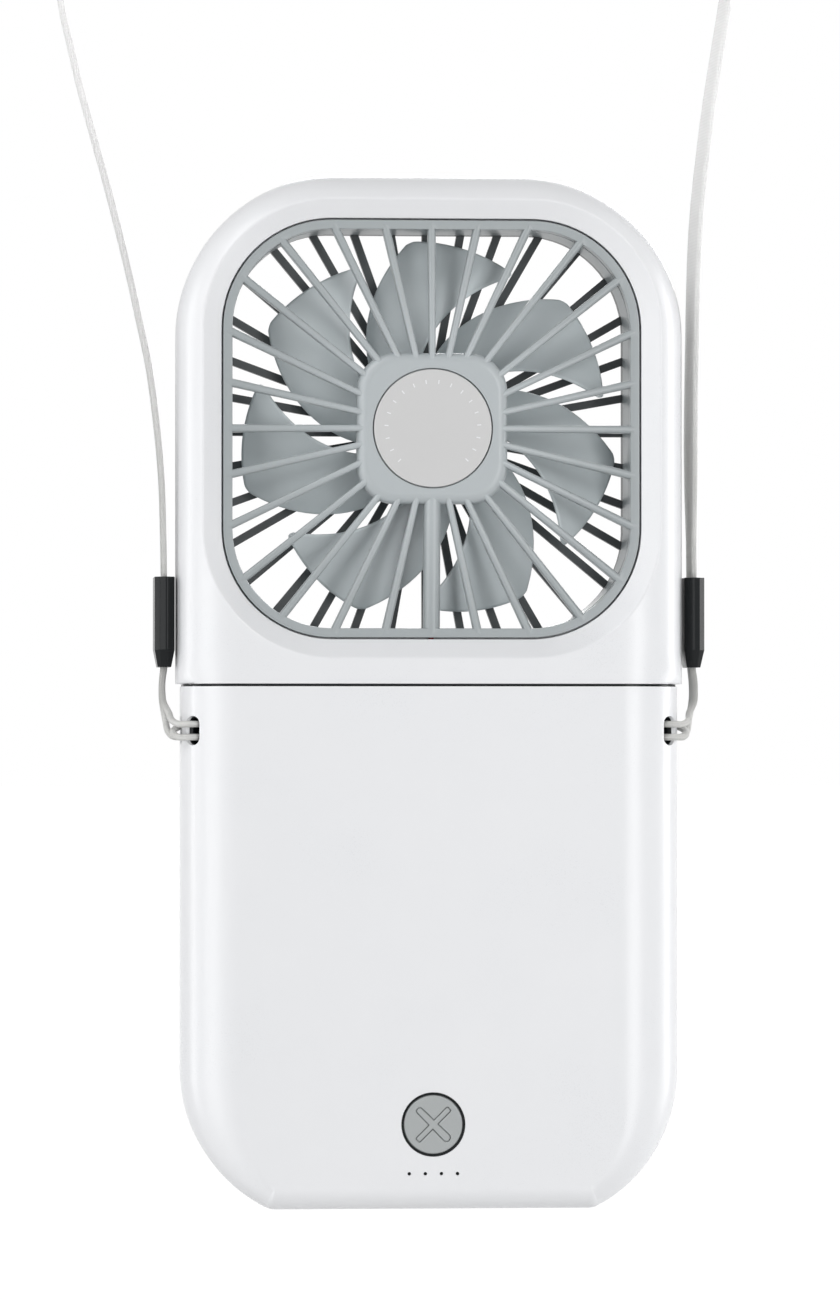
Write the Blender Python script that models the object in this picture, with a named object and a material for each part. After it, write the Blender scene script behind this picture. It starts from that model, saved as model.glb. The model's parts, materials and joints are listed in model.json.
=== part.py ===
"""A folding pocket fan on a neck strap: a flat power-bank base with a fan head hinged behind its top edge.

Sizes are in millimetres and become metres when a mesh is made. X runs to the right seen from the front,
Y to the rear, Z up. The model is laid out from the middle of the foot, and everything hangs from an empty
at the top of the strap, which is the world's origin.
"""

import math

import bmesh
import bpy
import numpy as np
from mathutils import Vector

MM = 0.001

# Fits
FIT_GAP = 0.25
SEAT_GAP = 0.15
THREAD_GAP = 0.1
CUT_PAST = 1.0

# Casing
CASE_DEPTH = 19.0
PARTING_GAP = 0.2
CASE_WALL = 1.8
SIDE_ROUND_WIDTH = 9.0
SIDE_ROUND_DEPTH = 7.0
ROUND_STEPS = 4
FOOT_ROUND = 3.0
BASE_WIDTH = 74.6
BASE_HEIGHT = 77.9
BASE_CORNER_RADIUS = 22.6
BASE_CORNER_HEIGHT = 20.5
FOOT_BLEND_RADIUS = 4.0
BASE_CORNER_STEPS = 6
FOOT_BLEND_STEPS = 3
SEAM_GAP = 0.4
HEAD_WIDTH = 76.0
HEAD_HEIGHT = 76.2
HEAD_CORNER_RADIUS = 24.0

# Fan opening and grilles
FACE_MARGIN = 6.55
CORNER_STEP = 7.5
BEVEL_WIDTH = 2.85
BEVEL_PAST = 1.25
GRILLE_SETBACK = 2.6
GRILLE_FRAME_WIDTH = 1.2
GRILLE_FRAME_DEPTH = 2.3
LEDGE_WIDTH = 1.45
DUCT_WALL = 1.4
HOLLOW_BEHIND_GRILLE = 1.5
FRONT_SPOKES = 28
FRONT_SPOKE_WIDTH = 1.0
REAR_SPOKES = 36
REAR_SPOKE_WIDTH = 0.95
SPOKE_DEPTH = 2.0
SPOKE_HUB_WIDTH = 0.76
SPOKE_CROWN = 0.4
SPOKE_FLAT = 0.55
SPOKE_BELOW_HUB = 0.25
SPOKE_PROUD = 0.02
CABLE_BAR_WIDTH = 2.5
CABLE_GROOVE_WIDTH = 1.4
HUB_HALF = 11.25
HUB_CORNER_RADIUS = 5.7
HUB_RISE = 1.7
HUB_PLATE = 3.2
HUB_ROUND_DEPTH = 1.3
HUB_ROUND_WIDTH = 1.5
HUB_CORNER_SHARE = 0.6
SPOKE_ON_HUB = 1.1
CAP_RADIUS = 8.8
CAP_THICKNESS = 0.9
CAP_GAP = 0.2
CAP_RISE = 0.08
CAP_EDGE = 0.15
REAR_HUB_RADIUS = 9.5
REAR_HUB_RISE = 1.3
REAR_HUB_EDGE = 0.7
REAR_HUB_THICKNESS = 2.2
REAR_SPOKE_SUNK = 0.1
REAR_SPOKE_DEPTH = 1.7
CORNER_STEPS = 7

# Impeller and motor
BLADES = 7
BLADE_TIP_GAP = 1.2
BLADE_TIP_FALL = 2.3
BLADE_TIP_CURVE = 1.3
BLADE_TIP_EASE = 0.15
BLADE_TIP_ROUND = 0.9
BLADE_CAMBER = 0.7
BLADE_THICKNESS = 0.9
BLADE_EDGE_SHARE = 0.55
BLADE_TO_FRONT = 1.1
BLADE_TO_REAR = 1.8
BLADE_SWEEP = 2.33
BLADE_SPAN_ANGLE = 40.0
BLADE_START_ANGLE = -48.5
ROTOR_RADIUS = 10.7
ROTOR_WALL = 0.8
ROTOR_PLATE = 1.2
ROTOR_EDGE = 0.5
ROTOR_FROM_HUB = 1.5
ROTOR_BELOW_BLADES = 0.8
ROTOR_BOSS_RADIUS = 4.0
ROTOR_BOSS_RISE = 1.1
YOKE_THICKNESS = 0.4
MAGNET_THICKNESS = 1.0
AIR_GAP = 0.3
SHAFT_RADIUS = 0.75
SHAFT_POINT = 0.2
SHAFT_FLOAT = 0.3
YOKE_SETBACK = 0.2
MAGNET_SETBACK = 0.3
MAGNET_PAST = 0.2
RUNNING_GAP = 0.15
BUSH_WALL = 1.2
BEARING_TUBE_WALL = 0.7
TUBE_FLOOR = 0.5
TUBE_BELOW_ROTOR = 2.0
CORE_ABOVE_BOARD = 1.2
COIL_END_GAP = 0.45
CORE_ARM_WIDTH = 2.2
CORE_RING = 1.4
POLE_SHOE = 0.9
POLE_SHOE_ANGLE = 0.62
POLE_SHOE_FOOT = 0.2
POLES = 4
COIL_BUILD = 0.6
COIL_FROM_RING = 0.2
COIL_FROM_SHOE = 0.5
BUSH_SETBACK = 0.2
MOTOR_BOARD_RADIUS = 8.6
MOTOR_BOARD_THICKNESS = 0.8
LEAD_RADIUS = 0.45
LEAD_HOLE_GAP = 0.3
LEAD_X = 4.0
LEAD_SEAM_Y = 2.6

# Hinge
HINGE_BEHIND_FACE = 0.4
KNUCKLE_RADIUS = 2.8
KNUCKLE_CLEARANCE = 0.35
HEAD_KNUCKLE_HALF = 17.5
HINGE_FROM_SIDE = 7.0
WASHER_THICKNESS = 0.4
WASHER_GAP = 0.2
WASHER_INSET = 0.3
PIN_RADIUS = 1.0
PIN_GAP = 0.2
PIN_CHAMFER = 0.2
HINGE_BLOCK_HEIGHT = 5.4
HINGE_BLOCK_DEPTH = 4.9
HINGE_BLOCK_PAST = 1.7

# Button, lights, electronics
BUTTON_HEIGHT = 12.7
BUTTON_RADIUS = 4.38
BUTTON_SETBACK = 0.1
BUTTON_EDGE = 0.25
BUTTON_GAP = 0.32
BUTTON_FLANGE = 1.0
BUTTON_FLANGE_THICKNESS = 0.6
BUTTON_TRAVEL = 0.6
BUTTON_STEM_RADIUS = 1.5
STEM_TO_SWITCH = 0.9
SYMBOL_ARM_LENGTH = 6.3
SYMBOL_ARM_WIDTH = 0.75
SYMBOL_DEPTH = 0.3
LIGHTS_HEIGHT = 5.4
LIGHTS = 4
LIGHT_PITCH = 2.4
LIGHT_HOLE_RADIUS = 0.32
LIGHT_PIN_GAP = 0.08
LIGHT_PIN_SETBACK = 0.15
LIGHT_GUIDE_MARGIN = 1.0
LIGHT_GUIDE_HALF = 0.9
LIGHT_GUIDE_GAP = 0.75
BOARD_FROM_FACE = 6.5
BOARD_THICKNESS = 1.0
BOARD_BOTTOM = 2.6
BOARD_TOP = 24.0
BOARD_FROM_SIDE = 13.8
BOARD_CORNER_RADIUS = 2.0
SWITCH_SIZE = 6.0
SWITCH_HEIGHT = 2.4
PLUNGER_RADIUS = 1.6
PLUNGER_GAP = 0.2
PLUNGER_FLOOR = 0.6
PLUNGER_IN_SWITCH = 0.35
BATTERY_ABOVE_BOARD = 1.6
BATTERY_FROM_SEAM = 9.3
BATTERY_THICKNESS = 10.0
BATTERY_ROUND = 1.2
BATTERY_CORNER_RADIUS = 2.0
BATTERY_SIDE_GAP = 0.3
USB_A_SIZE = (13.1, 5.7, 14.0)
USB_A_X = -9.5
USB_A_CORNER = 0.4
USB_A_TONGUE = (11.2, 1.8)
USB_A_TONGUE_GAP = 0.6
USB_C_SIZE = (8.94, 3.2, 7.4)
USB_C_X = 9.5
USB_C_CORNER = 1.4
USB_C_TONGUE = (6.7, 0.7)
SOCKET_METAL = 0.35
SOCKET_FLOOR = 1.2
SOCKET_FROM_FOOT = 0.3
TONGUE_SETBACK = 0.9

# Screws
SCREW_RADIUS = 0.75
SCREW_POINT = 0.5
SCREW_POINT_SHARE = 0.55
SCREW_HEAD_RADIUS = 1.6
SCREW_HEAD_HEIGHT = 1.2
SCREW_HEAD_EDGE = 0.4
SCREW_SEAT_DEPTH = 4.9
SCREW_TIP_DEPTH = 4.9
BOARD_SCREW_LENGTH = 3.2
BOSS_RADIUS = 2.9
BOARD_BOSS_RADIUS = 2.2
BASE_SCREW_FROM_SIDE = 6.1
BASE_SCREW_FROM_SEAM = 14.9
BASE_SCREW_FROM_BOARD = 3.5
BASE_SCREW_FROM_FOOT = 15.5
HEAD_SCREW_INSET = 5.2
HEAD_SCREW_FROM_CORNER = 3.0
BOARD_SCREW_FROM_SIDE = 5.0
BOARD_SCREW_FROM_TOP = 4.0

# Neck strap, its clips and the cord loops on the base
STRAP_WIDTH = 8.0
STRAP_THICKNESS = 0.7
STRAP_TWIST = 6.0
CLIP_FROM_HEAD = 0.3
CLIP_THICKNESS = 3.0
CLIP_DEPTH = 9.8
CLIP_ABOVE_BASE = 2.9
CLIP_LENGTH = 13.5
CLIP_TAPER_HEIGHT = 2.6
CLIP_TAPER = 0.68
CLIP_DEPTH_TAPER = 0.72
CLIP_CHAMFER = 0.8
CLIP_SOCKET = 3.0
CORD_RADIUS = 0.5
CORD_GAP = 0.2
CORD_PAIR_OFFSET = 1.2
CORD_IN_CLIP = 2.6
LOOP_POST_FROM_SIDE = 1.3
LOOP_POST_FROM_FACE = 5.6
LOOP_POST_RADIUS = 1.6
LOOP_TUNNEL_RADIUS = 3.5
LOOP_TUNNEL_HEIGHT = 4.4
LOOP_FROM_SEAM = 6.6
LOOP_PITCH = 1.94
LOOP_BOSS_RADIUS = 5.2

# The strap's route in its own plane, from the left clip over the neck to the right clip: X, and Z above the clips
STRAP_ROUTE = (
    (-39.8, -2.7), (-39.8, 0.6), (-39.9, 6.4), (-40.2, 15.0), (-41.0, 23.6), (-42.1, 31.6),
    (-43.5, 38.3), (-45.1, 45.6), (-47.0, 53.4), (-48.7, 59.9), (-50.6, 66.7), (-52.4, 73.3),
    (-53.9, 79.7), (-55.3, 86.3), (-57.0, 100.7), (-53.5, 118.7), (-40.0, 136.2), (-21.0, 145.7),
    (0.0, 148.7), (20.0, 144.0), (36.5, 131.7), (45.3, 114.7), (47.0, 100.7), (44.9, 86.6),
    (42.7, 72.9), (41.3, 62.0), (40.5, 53.7), (40.1, 45.2), (39.9, 36.2), (39.7, 23.6),
    (39.7, 15.0), (39.75, 6.4), (39.8, 0.6), (39.8, -2.7),
)

HALF_DEPTH = CASE_DEPTH / 2
BASE_HALF = BASE_WIDTH / 2
HEAD_HALF = HEAD_WIDTH / 2
HEAD_BOTTOM = BASE_HEIGHT + SEAM_GAP
HEAD_TOP = HEAD_BOTTOM + HEAD_HEIGHT
FAN_HEIGHT = (HEAD_BOTTOM + HEAD_TOP) / 2
OPENING_HALF = min(HEAD_WIDTH, HEAD_HEIGHT) / 2 - FACE_MARGIN
OPENING_CORNER_RADIUS = HEAD_CORNER_RADIUS - CORNER_STEP
GRILLE_FACE = HALF_DEPTH - GRILLE_SETBACK
HEAD_HOLLOW_DEPTH = GRILLE_FACE - HOLLOW_BEHIND_GRILLE
HINGE_Y = HALF_DEPTH + HINGE_BEHIND_FACE
HINGE_Z = BASE_HEIGHT + SEAM_GAP / 2
KNUCKLE_NEAR = HEAD_KNUCKLE_HALF + WASHER_THICKNESS + 2 * WASHER_GAP
KNUCKLE_FAR = BASE_HALF - HINGE_FROM_SIDE
HUB_FRONT = -GRILLE_FACE - HUB_RISE
HUB_BACK = HUB_FRONT + HUB_PLATE
BLADE_FRONT = -GRILLE_FACE + SPOKE_DEPTH + BLADE_TO_FRONT
BLADE_REAR = GRILLE_FACE - SPOKE_DEPTH - BLADE_TO_REAR
BLADE_TIP_RADIUS = OPENING_HALF - LEDGE_WIDTH - BLADE_TIP_GAP
ROTOR_FRONT = HUB_BACK + ROTOR_FROM_HUB
ROTOR_REAR = BLADE_REAR - ROTOR_BELOW_BLADES
ROTOR_INNER = ROTOR_RADIUS - ROTOR_WALL
PLATE_FRONT = ROTOR_REAR - ROTOR_PLATE
SHAFT_SEAT_END = ROTOR_REAR + ROTOR_BOSS_RISE - ROTOR_EDGE
YOKE_OUTER = ROTOR_INNER - RUNNING_GAP
YOKE_INNER = YOKE_OUTER - YOKE_THICKNESS
YOKE_REAR = PLATE_FRONT - FIT_GAP
MAGNET_OUTER = YOKE_INNER - RUNNING_GAP
POLE_RADIUS = MAGNET_OUTER - MAGNET_THICKNESS - AIR_GAP
TUBE_BORE = SHAFT_RADIUS + RUNNING_GAP + BUSH_WALL + RUNNING_GAP
TUBE_RADIUS = TUBE_BORE + BEARING_TUBE_WALL
TUBE_END = ROTOR_REAR - TUBE_BELOW_ROTOR
CORE_FRONT = HUB_BACK + MOTOR_BOARD_THICKNESS + CORE_ABOVE_BOARD
CORE_REAR = YOKE_REAR - YOKE_THICKNESS - COIL_END_GAP - COIL_BUILD
LEAD_Y = HUB_BACK + LEAD_RADIUS
BOARD_FRONT = -HALF_DEPTH + BOARD_FROM_FACE
BOARD_BACK = BOARD_FRONT + BOARD_THICKNESS
BOARD_HALF_WIDTH = BASE_HALF - BOARD_FROM_SIDE
SWITCH_BACK = BOARD_FRONT - SEAT_GAP
SWITCH_FRONT = SWITCH_BACK - SWITCH_HEIGHT
STEM_END = SWITCH_FRONT - STEM_TO_SWITCH
BATTERY_FRONT = -HALF_DEPTH + CASE_WALL + FIT_GAP
BATTERY_BACK = BATTERY_FRONT + BATTERY_THICKNESS
BATTERY_LOW = BOARD_TOP + BATTERY_ABOVE_BOARD
BATTERY_HIGH = BASE_HEIGHT - BATTERY_FROM_SEAM
SCREW_SEAT = HALF_DEPTH - SCREW_SEAT_DEPTH
SCREW_TIP = -HALF_DEPTH + SCREW_TIP_DEPTH
CORNER_SCREW = (HEAD_CORNER_RADIUS - HEAD_SCREW_FROM_CORNER) * math.sqrt(0.5) - HEAD_CORNER_RADIUS
BASE_SCREWS = ((BASE_HALF - BASE_SCREW_FROM_SIDE, BASE_HEIGHT - BASE_SCREW_FROM_SEAM),
               (BOARD_HALF_WIDTH + BASE_SCREW_FROM_BOARD, BASE_SCREW_FROM_FOOT))
HEAD_SCREWS = ((HEAD_HALF - HEAD_SCREW_INSET, HEAD_BOTTOM + HEAD_SCREW_INSET),
               (HEAD_HALF + CORNER_SCREW, HEAD_TOP + CORNER_SCREW))
BOARD_SCREWS = ((BOARD_HALF_WIDTH - BOARD_SCREW_FROM_SIDE, BOARD_TOP - BOARD_SCREW_FROM_TOP),)
BATTERY_HALF_WIDTH = BASE_HALF - BASE_SCREW_FROM_SIDE - BOSS_RADIUS - BATTERY_SIDE_GAP
CLIP_X = max(BASE_HALF, HEAD_HALF) + CLIP_FROM_HEAD + CLIP_THICKNESS / 2
CLIP_BOTTOM = BASE_HEIGHT + CLIP_ABOVE_BASE
CLIP_TOP = CLIP_BOTTOM + CLIP_LENGTH
LOOP_POST_X = BASE_HALF - LOOP_POST_FROM_SIDE
LOOP_POST_Y = -HALF_DEPTH + LOOP_POST_FROM_FACE
LOOP_HEIGHT = BASE_HEIGHT - LOOP_FROM_SEAM
STRAP_TOP = CLIP_TOP + max(z for x, z in STRAP_ROUTE) + STRAP_THICKNESS / 2

PAINT = {
    "case_white": ((0.86, 0.87, 0.885), 0.32, 0.0),
    "grille_grey": ((0.45, 0.49, 0.50), 0.42, 0.0),
    "grille_dark": ((0.045, 0.052, 0.056), 0.42, 0.0),
    "blade_grey": ((0.35, 0.38, 0.39), 0.45, 0.0),
    "cap_grey": ((0.62, 0.62, 0.62), 0.5, 0.0),
    "button_grey": ((0.42, 0.43, 0.43), 0.45, 0.0),
    "clip_black": ((0.012, 0.014, 0.015), 0.35, 0.0),
    "strap_grey": ((0.52, 0.52, 0.51), 0.6, 0.0),
    "cord_pale": ((0.68, 0.68, 0.66), 0.6, 0.0),
    "steel": ((0.60, 0.61, 0.62), 0.3, 1.0),
    "brass": ((0.72, 0.55, 0.28), 0.35, 1.0),
    "copper": ((0.62, 0.29, 0.15), 0.4, 1.0),
    "magnet_black": ((0.04, 0.04, 0.045), 0.6, 0.0),
    "board_green": ((0.02, 0.16, 0.07), 0.5, 0.0),
    "cell_silver": ((0.50, 0.51, 0.53), 0.4, 0.3),
    "socket_black": ((0.02, 0.02, 0.022), 0.5, 0.0),
    "light_smoked": ((0.012, 0.013, 0.015), 0.2, 0.0),
    "lead_red": ((0.45, 0.03, 0.03), 0.5, 0.0),
}


def clear_scene():
    for old in list(bpy.data.objects):
        bpy.data.objects.remove(old, do_unlink=True)


def empty(name, place, parent=None):
    """An empty at a place given from the foot; its children's meshes are laid out from there."""
    pivot = bpy.data.objects.new(name, None)
    bpy.context.scene.collection.objects.link(pivot)
    pivot["place"] = tuple(place)
    if parent is None:
        pivot.location = (0, 0, 0)
    else:
        pivot.parent = parent
        pivot.location = (Vector(place) - Vector(parent["place"])) * MM
    return pivot


def material(name):
    made = bpy.data.materials.get(name)
    if made is None:
        colour, roughness, metallic = PAINT[name]
        made = bpy.data.materials.new(name)
        made.use_nodes = True
        shader = made.node_tree.nodes["Principled BSDF"]
        shader.inputs["Base Color"].default_value = (*colour, 1.0)
        shader.inputs["Roughness"].default_value = roughness
        shader.inputs["Metallic"].default_value = metallic
        made.diffuse_color = (*colour, 1.0)
    return made


def solid(name, points, faces):
    """An object whose points are given in millimetres from the middle of the foot."""
    mesh = bpy.data.meshes.new(name)
    mesh.from_pydata([Vector(point) * MM for point in points], [], faces)
    shape = bmesh.new()
    shape.from_mesh(mesh)
    bmesh.ops.recalc_face_normals(shape, faces=shape.faces)
    shape.to_mesh(mesh)
    shape.free()
    made = bpy.data.objects.new(name, mesh)
    bpy.context.scene.collection.objects.link(made)
    return made


def loft(name, rings, closed=False):
    """Skins rings of equal count; closed joins the last ring to the first in place of end caps."""
    count = len(rings[0])
    points = [point for ring in rings for point in ring]
    last = len(rings) if closed else len(rings) - 1
    faces = []
    for level in range(last):
        this, following = level * count, (level + 1) % len(rings) * count
        for i in range(count):
            j = (i + 1) % count
            faces.append((this + i, this + j, following + j, following + i))
    if not closed:
        faces.append(tuple(reversed(range(count))))
        faces.append(tuple(range(last * count, last * count + count)))
    return solid(name, points, faces)


def at_depth(outline, y):
    return [(x, y, z) for x, z in outline]


def prism(name, outline, start, end):
    """An outline in X and Z, run along Y."""
    return loft(name, [at_depth(outline, start), at_depth(outline, end)])


def frame_ring(name, outer, inner, start, end):
    """A closed band between two outlines of equal count, run along Y."""
    rings = [at_depth(outer, start), at_depth(outer, end), at_depth(inner, end), at_depth(inner, start)]
    return loft(name, rings, closed=True)


def box(name, low, high):
    outline = [(low[0], low[2]), (high[0], low[2]), (high[0], high[2]), (low[0], high[2])]
    return prism(name, outline, low[1], high[1])


def circle(radius, x=0.0, z=0.0, sides=24):
    turn = [2 * math.pi * (i + 0.5) / sides for i in range(sides)]
    return [(x + radius * math.cos(a), z + radius * math.sin(a)) for a in turn]


def turned(name, profile, axis="Y", x=0.0, y=0.0, z=0.0, sides=24, bore=None):
    """A round piece: profile lists (place along the axis, radius); bore is the radius of a through hole."""
    rings = []
    steps = list(profile)
    if bore is not None:
        steps += [(profile[-1][0], bore), (profile[0][0], bore)]
    for along, radius in steps:
        flat = circle(radius, sides=sides)
        if axis == "X":
            rings.append([(x + along, y + a, z + b) for a, b in flat])
        elif axis == "Z":
            rings.append([(x + a, y + b, z + along) for a, b in flat])
        else:
            rings.append([(x + a, y + along, z + b) for a, b in flat])
    return loft(name, rings, closed=bore is not None)


def rounded_box(half_x, half_z, radius, x=0.0, z=0.0, steps=3):
    outline = []
    for quarter, (across, up) in enumerate(((1, 1), (-1, 1), (-1, -1), (1, -1))):
        for step in range(steps + 1):
            turn = math.radians(90 * quarter + 90 * step / steps)
            outline.append((x + across * (half_x - radius) + radius * math.cos(turn),
                            z + up * (half_z - radius) + radius * math.sin(turn)))
    return outline


def fan_square(half, radius, steps=CORNER_STEPS):
    """A rounded square round the fan's axis."""
    return rounded_box(half, half, radius, 0.0, FAN_HEIGHT, steps)


def joined(name, pieces):
    """Several solids that don't touch, as one object to cut or to add with."""
    gathered = bmesh.new()
    for piece in pieces:
        gathered.from_mesh(piece.data)
        bpy.data.objects.remove(piece)
    mesh = bpy.data.meshes.new(name)
    gathered.to_mesh(mesh)
    gathered.free()
    made = bpy.data.objects.new(name, mesh)
    bpy.context.scene.collection.objects.link(made)
    return made


def combine(body, tool, operation):
    """Applies an exact boolean and removes its tool."""
    modifier = body.modifiers.new(operation.lower(), "BOOLEAN")
    modifier.operation = operation
    modifier.solver = "EXACT"
    modifier.object = tool
    bpy.context.view_layer.update()
    result = bpy.data.meshes.new_from_object(body.evaluated_get(bpy.context.evaluated_depsgraph_get()))
    body.modifiers.clear()
    body.data = result
    bpy.data.objects.remove(tool)
    return body


def cut(body, *tools):
    for tool in tools:
        combine(body, tool, "DIFFERENCE")
    return body


def add(body, *tools):
    for tool in tools:
        combine(body, tool, "UNION")
    return body


def finish(piece, paint, pivot, smooth_angle=35.0):
    """Lays the piece out from its pivot, parents it, and gives it its material and shading."""
    place = Vector(pivot["place"]) * MM
    shape = bmesh.new()
    shape.from_mesh(piece.data)
    bmesh.ops.translate(shape, verts=shape.verts, vec=-place)
    bmesh.ops.dissolve_limit(shape, angle_limit=0.0002, verts=shape.verts, edges=shape.edges)
    bmesh.ops.triangulate(shape, faces=[face for face in shape.faces if len(face.verts) > 4])
    shape.to_mesh(piece.data)
    shape.free()
    piece.parent = pivot
    piece.data.materials.clear()
    piece.data.materials.append(material(paint))
    piece.data.shade_smooth()
    piece.data.set_sharp_from_angle(angle=math.radians(smooth_angle))
    return piece


def round_levels():
    """Distances from the mid plane at which a casing is sectioned, out to its face."""
    straight = HALF_DEPTH - SIDE_ROUND_DEPTH
    turns = [math.radians(90 * k / ROUND_STEPS) for k in range(ROUND_STEPS + 1)]
    return [straight + SIDE_ROUND_DEPTH * math.sin(turn) for turn in turns]


def edge_inset(depth, width, reach):
    """How far a soft edge of this width and reach has drawn in at this distance from the mid plane."""
    run = (depth - (HALF_DEPTH - reach)) / reach
    if run <= 0:
        return 0.0
    return width * (1 - math.sqrt(max(0.0, 1 - run * run)))


def base_edge(top):
    """The base's outline from the right top round the foot: (x, z, normal x, normal z, edge width, edge reach)."""
    centre_x = BASE_HALF - BASE_CORNER_RADIUS
    drop = BASE_CORNER_HEIGHT - FOOT_BLEND_RADIUS
    reach = math.sqrt((BASE_CORNER_RADIUS - FOOT_BLEND_RADIUS) ** 2 - drop ** 2)
    meet = math.atan2(drop, reach)
    half = [(BASE_HALF, top, 0.0)]
    for step in range(BASE_CORNER_STEPS + 1):
        turn = meet * step / BASE_CORNER_STEPS
        half.append((centre_x + BASE_CORNER_RADIUS * math.cos(turn),
                     BASE_CORNER_HEIGHT - BASE_CORNER_RADIUS * math.sin(turn), turn))
    for step in range(1, FOOT_BLEND_STEPS + 1):
        turn = meet + (math.pi / 2 - meet) * step / FOOT_BLEND_STEPS
        half.append((centre_x + reach + FOOT_BLEND_RADIUS * math.cos(turn),
                     FOOT_BLEND_RADIUS * (1 - math.sin(turn)), turn))
    edge = []
    for x, z, turn in half:
        side = math.cos(turn) ** 3
        edge.append((x, z, math.cos(turn), -math.sin(turn),
                     FOOT_ROUND + (SIDE_ROUND_WIDTH - FOOT_ROUND) * side,
                     FOOT_ROUND + (SIDE_ROUND_DEPTH - FOOT_ROUND) * side))
    return edge + [(-x, z, -nx, nz, width, depth) for x, z, nx, nz, width, depth in reversed(edge)]


def head_edge(bottom):
    """The head's outline in the same form, from the right bottom over the top."""
    centre_x = HEAD_HALF - HEAD_CORNER_RADIUS
    centre_z = HEAD_TOP - HEAD_CORNER_RADIUS
    half = [(HEAD_HALF, bottom, 1.0, 0.0)]
    for step in range(CORNER_STEPS + 1):
        turn = math.radians(90 * step / CORNER_STEPS)
        half.append((centre_x + HEAD_CORNER_RADIUS * math.cos(turn),
                     centre_z + HEAD_CORNER_RADIUS * math.sin(turn), math.cos(turn), math.sin(turn)))
    edge = [(x, z, nx, nz, SIDE_ROUND_WIDTH, SIDE_ROUND_DEPTH) for x, z, nx, nz in half]
    return edge + [(-x, z, -nx, nz, width, depth) for x, z, nx, nz, width, depth in reversed(edge)]


def casing_half(name, edge, side):
    """The full outer form of one half, from the parting plane to its face; side is -1 in front, 1 behind."""
    rings = []
    for depth in [PARTING_GAP / 2] + round_levels():
        ring = []
        for x, z, nx, nz, width, reach in edge:
            inset = edge_inset(depth, width, reach)
            ring.append((x - nx * inset, side * depth, z - nz * inset))
        rings.append(ring)
    return loft(name, rings)


def casing_hollow(name, edge, side, depth_limit):
    """The hollow inside one half: the outer form drawn in by the wall, open past the parting plane."""
    rings = []
    levels = [level for level in round_levels() if level < depth_limit + CASE_WALL - 0.01]
    depths = [-CUT_PAST / 2] + [level - CASE_WALL for level in levels] + [depth_limit]
    for depth in depths:
        ring = []
        for x, z, nx, nz, width, reach in edge:
            inset = CASE_WALL + edge_inset(depth + CASE_WALL, width, reach)
            ring.append((x - nx * inset, side * depth, z - nz * inset))
        rings.append(ring)
    return loft(name, rings)


def head_face_depth(x, z):
    """Distance of the head's outer surface from the mid plane at a point of its face."""
    corner_x = abs(x) - (HEAD_HALF - HEAD_CORNER_RADIUS)
    corner_z = z - (HEAD_TOP - HEAD_CORNER_RADIUS)
    if corner_x > 0 and corner_z > 0:
        inset = HEAD_CORNER_RADIUS - math.hypot(corner_x, corner_z)
    else:
        inset = min(HEAD_HALF - abs(x), HEAD_TOP - z)
    run = min(1.0, max(0.0, 1 - inset / SIDE_ROUND_WIDTH))
    return HALF_DEPTH - SIDE_ROUND_DEPTH + SIDE_ROUND_DEPTH * math.sqrt(1 - run * run)


def opening_bevel(name, side):
    """Cutter for the sloping band round the fan opening, which keeps one width on the curved face."""
    inner = fan_square(OPENING_HALF, OPENING_CORNER_RADIUS)
    outer = fan_square(OPENING_HALF + BEVEL_WIDTH, OPENING_CORNER_RADIUS + BEVEL_WIDTH)
    floor = at_depth(inner, side * GRILLE_FACE)
    lip = []
    for (ix, iz), (ox, oz) in zip(inner, outer):
        surface = head_face_depth(ox, oz)
        lip.append((ix + (ox - ix) * BEVEL_PAST, side * (GRILLE_FACE + (surface - GRILLE_FACE) * BEVEL_PAST),
                    iz + (oz - iz) * BEVEL_PAST))
    clear = [(x, side * (HALF_DEPTH + 2 * CUT_PAST), z) for x, y, z in lip]
    return loft(name, [floor, lip, clear])


def screw_places(places):
    return [(side * x, z) for x, z in places for side in (-1, 1)]


def column(name, start, end, radius, axis="Y", x=0.0, y=0.0, z=0.0, sides=12):
    """A plain round bar, to add, to keep or to cut with."""
    return turned(name, [(start, radius), (end, radius)], axis, x, y, z, sides)


def screw_bosses(places, side):
    """Columns that join a shell's face to the parting plane; they are left standing in its hollow."""
    ends = sorted((-side * CUT_PAST, side * (HALF_DEPTH + CUT_PAST)))
    return [column("boss", *ends, BOSS_RADIUS, x=x, z=z) for x, z in places]


def screw_holes(places, side):
    """Pilot holes in a front shell, or clearance holes with counterbores in a rear shell."""
    holes = []
    for x, z in places:
        if side < 0:
            profile = [(SCREW_TIP - FIT_GAP, SCREW_RADIUS + THREAD_GAP), (CUT_PAST, SCREW_RADIUS + THREAD_GAP)]
        else:
            wide = SCREW_HEAD_RADIUS + FIT_GAP
            narrow = SCREW_RADIUS + FIT_GAP
            profile = [(-CUT_PAST, narrow), (SCREW_SEAT, narrow), (SCREW_SEAT, wide), (HALF_DEPTH + CUT_PAST, wide)]
        holes.append(turned("hole", profile, x=x, z=z, sides=12))
    return joined("holes", holes)


def hinge_block(side_of_seam):
    """Solid stock behind the seam that backs the hinge's notches, on the base or on the head."""
    if side_of_seam < 0:
        low, high = BASE_HEIGHT - HINGE_BLOCK_HEIGHT, BASE_HEIGHT + CUT_PAST
    else:
        low, high = HEAD_BOTTOM - CUT_PAST, HEAD_BOTTOM + HINGE_BLOCK_HEIGHT
    reach = KNUCKLE_FAR + HINGE_BLOCK_PAST
    return box("hinge_block", (-reach, HALF_DEPTH - HINGE_BLOCK_DEPTH, low), (reach, HALF_DEPTH + CUT_PAST, high))


def knuckle(start, end, radius):
    return column("knuckle", start, end, radius, "X", y=HINGE_Y, z=HINGE_Z, sides=24)


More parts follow.
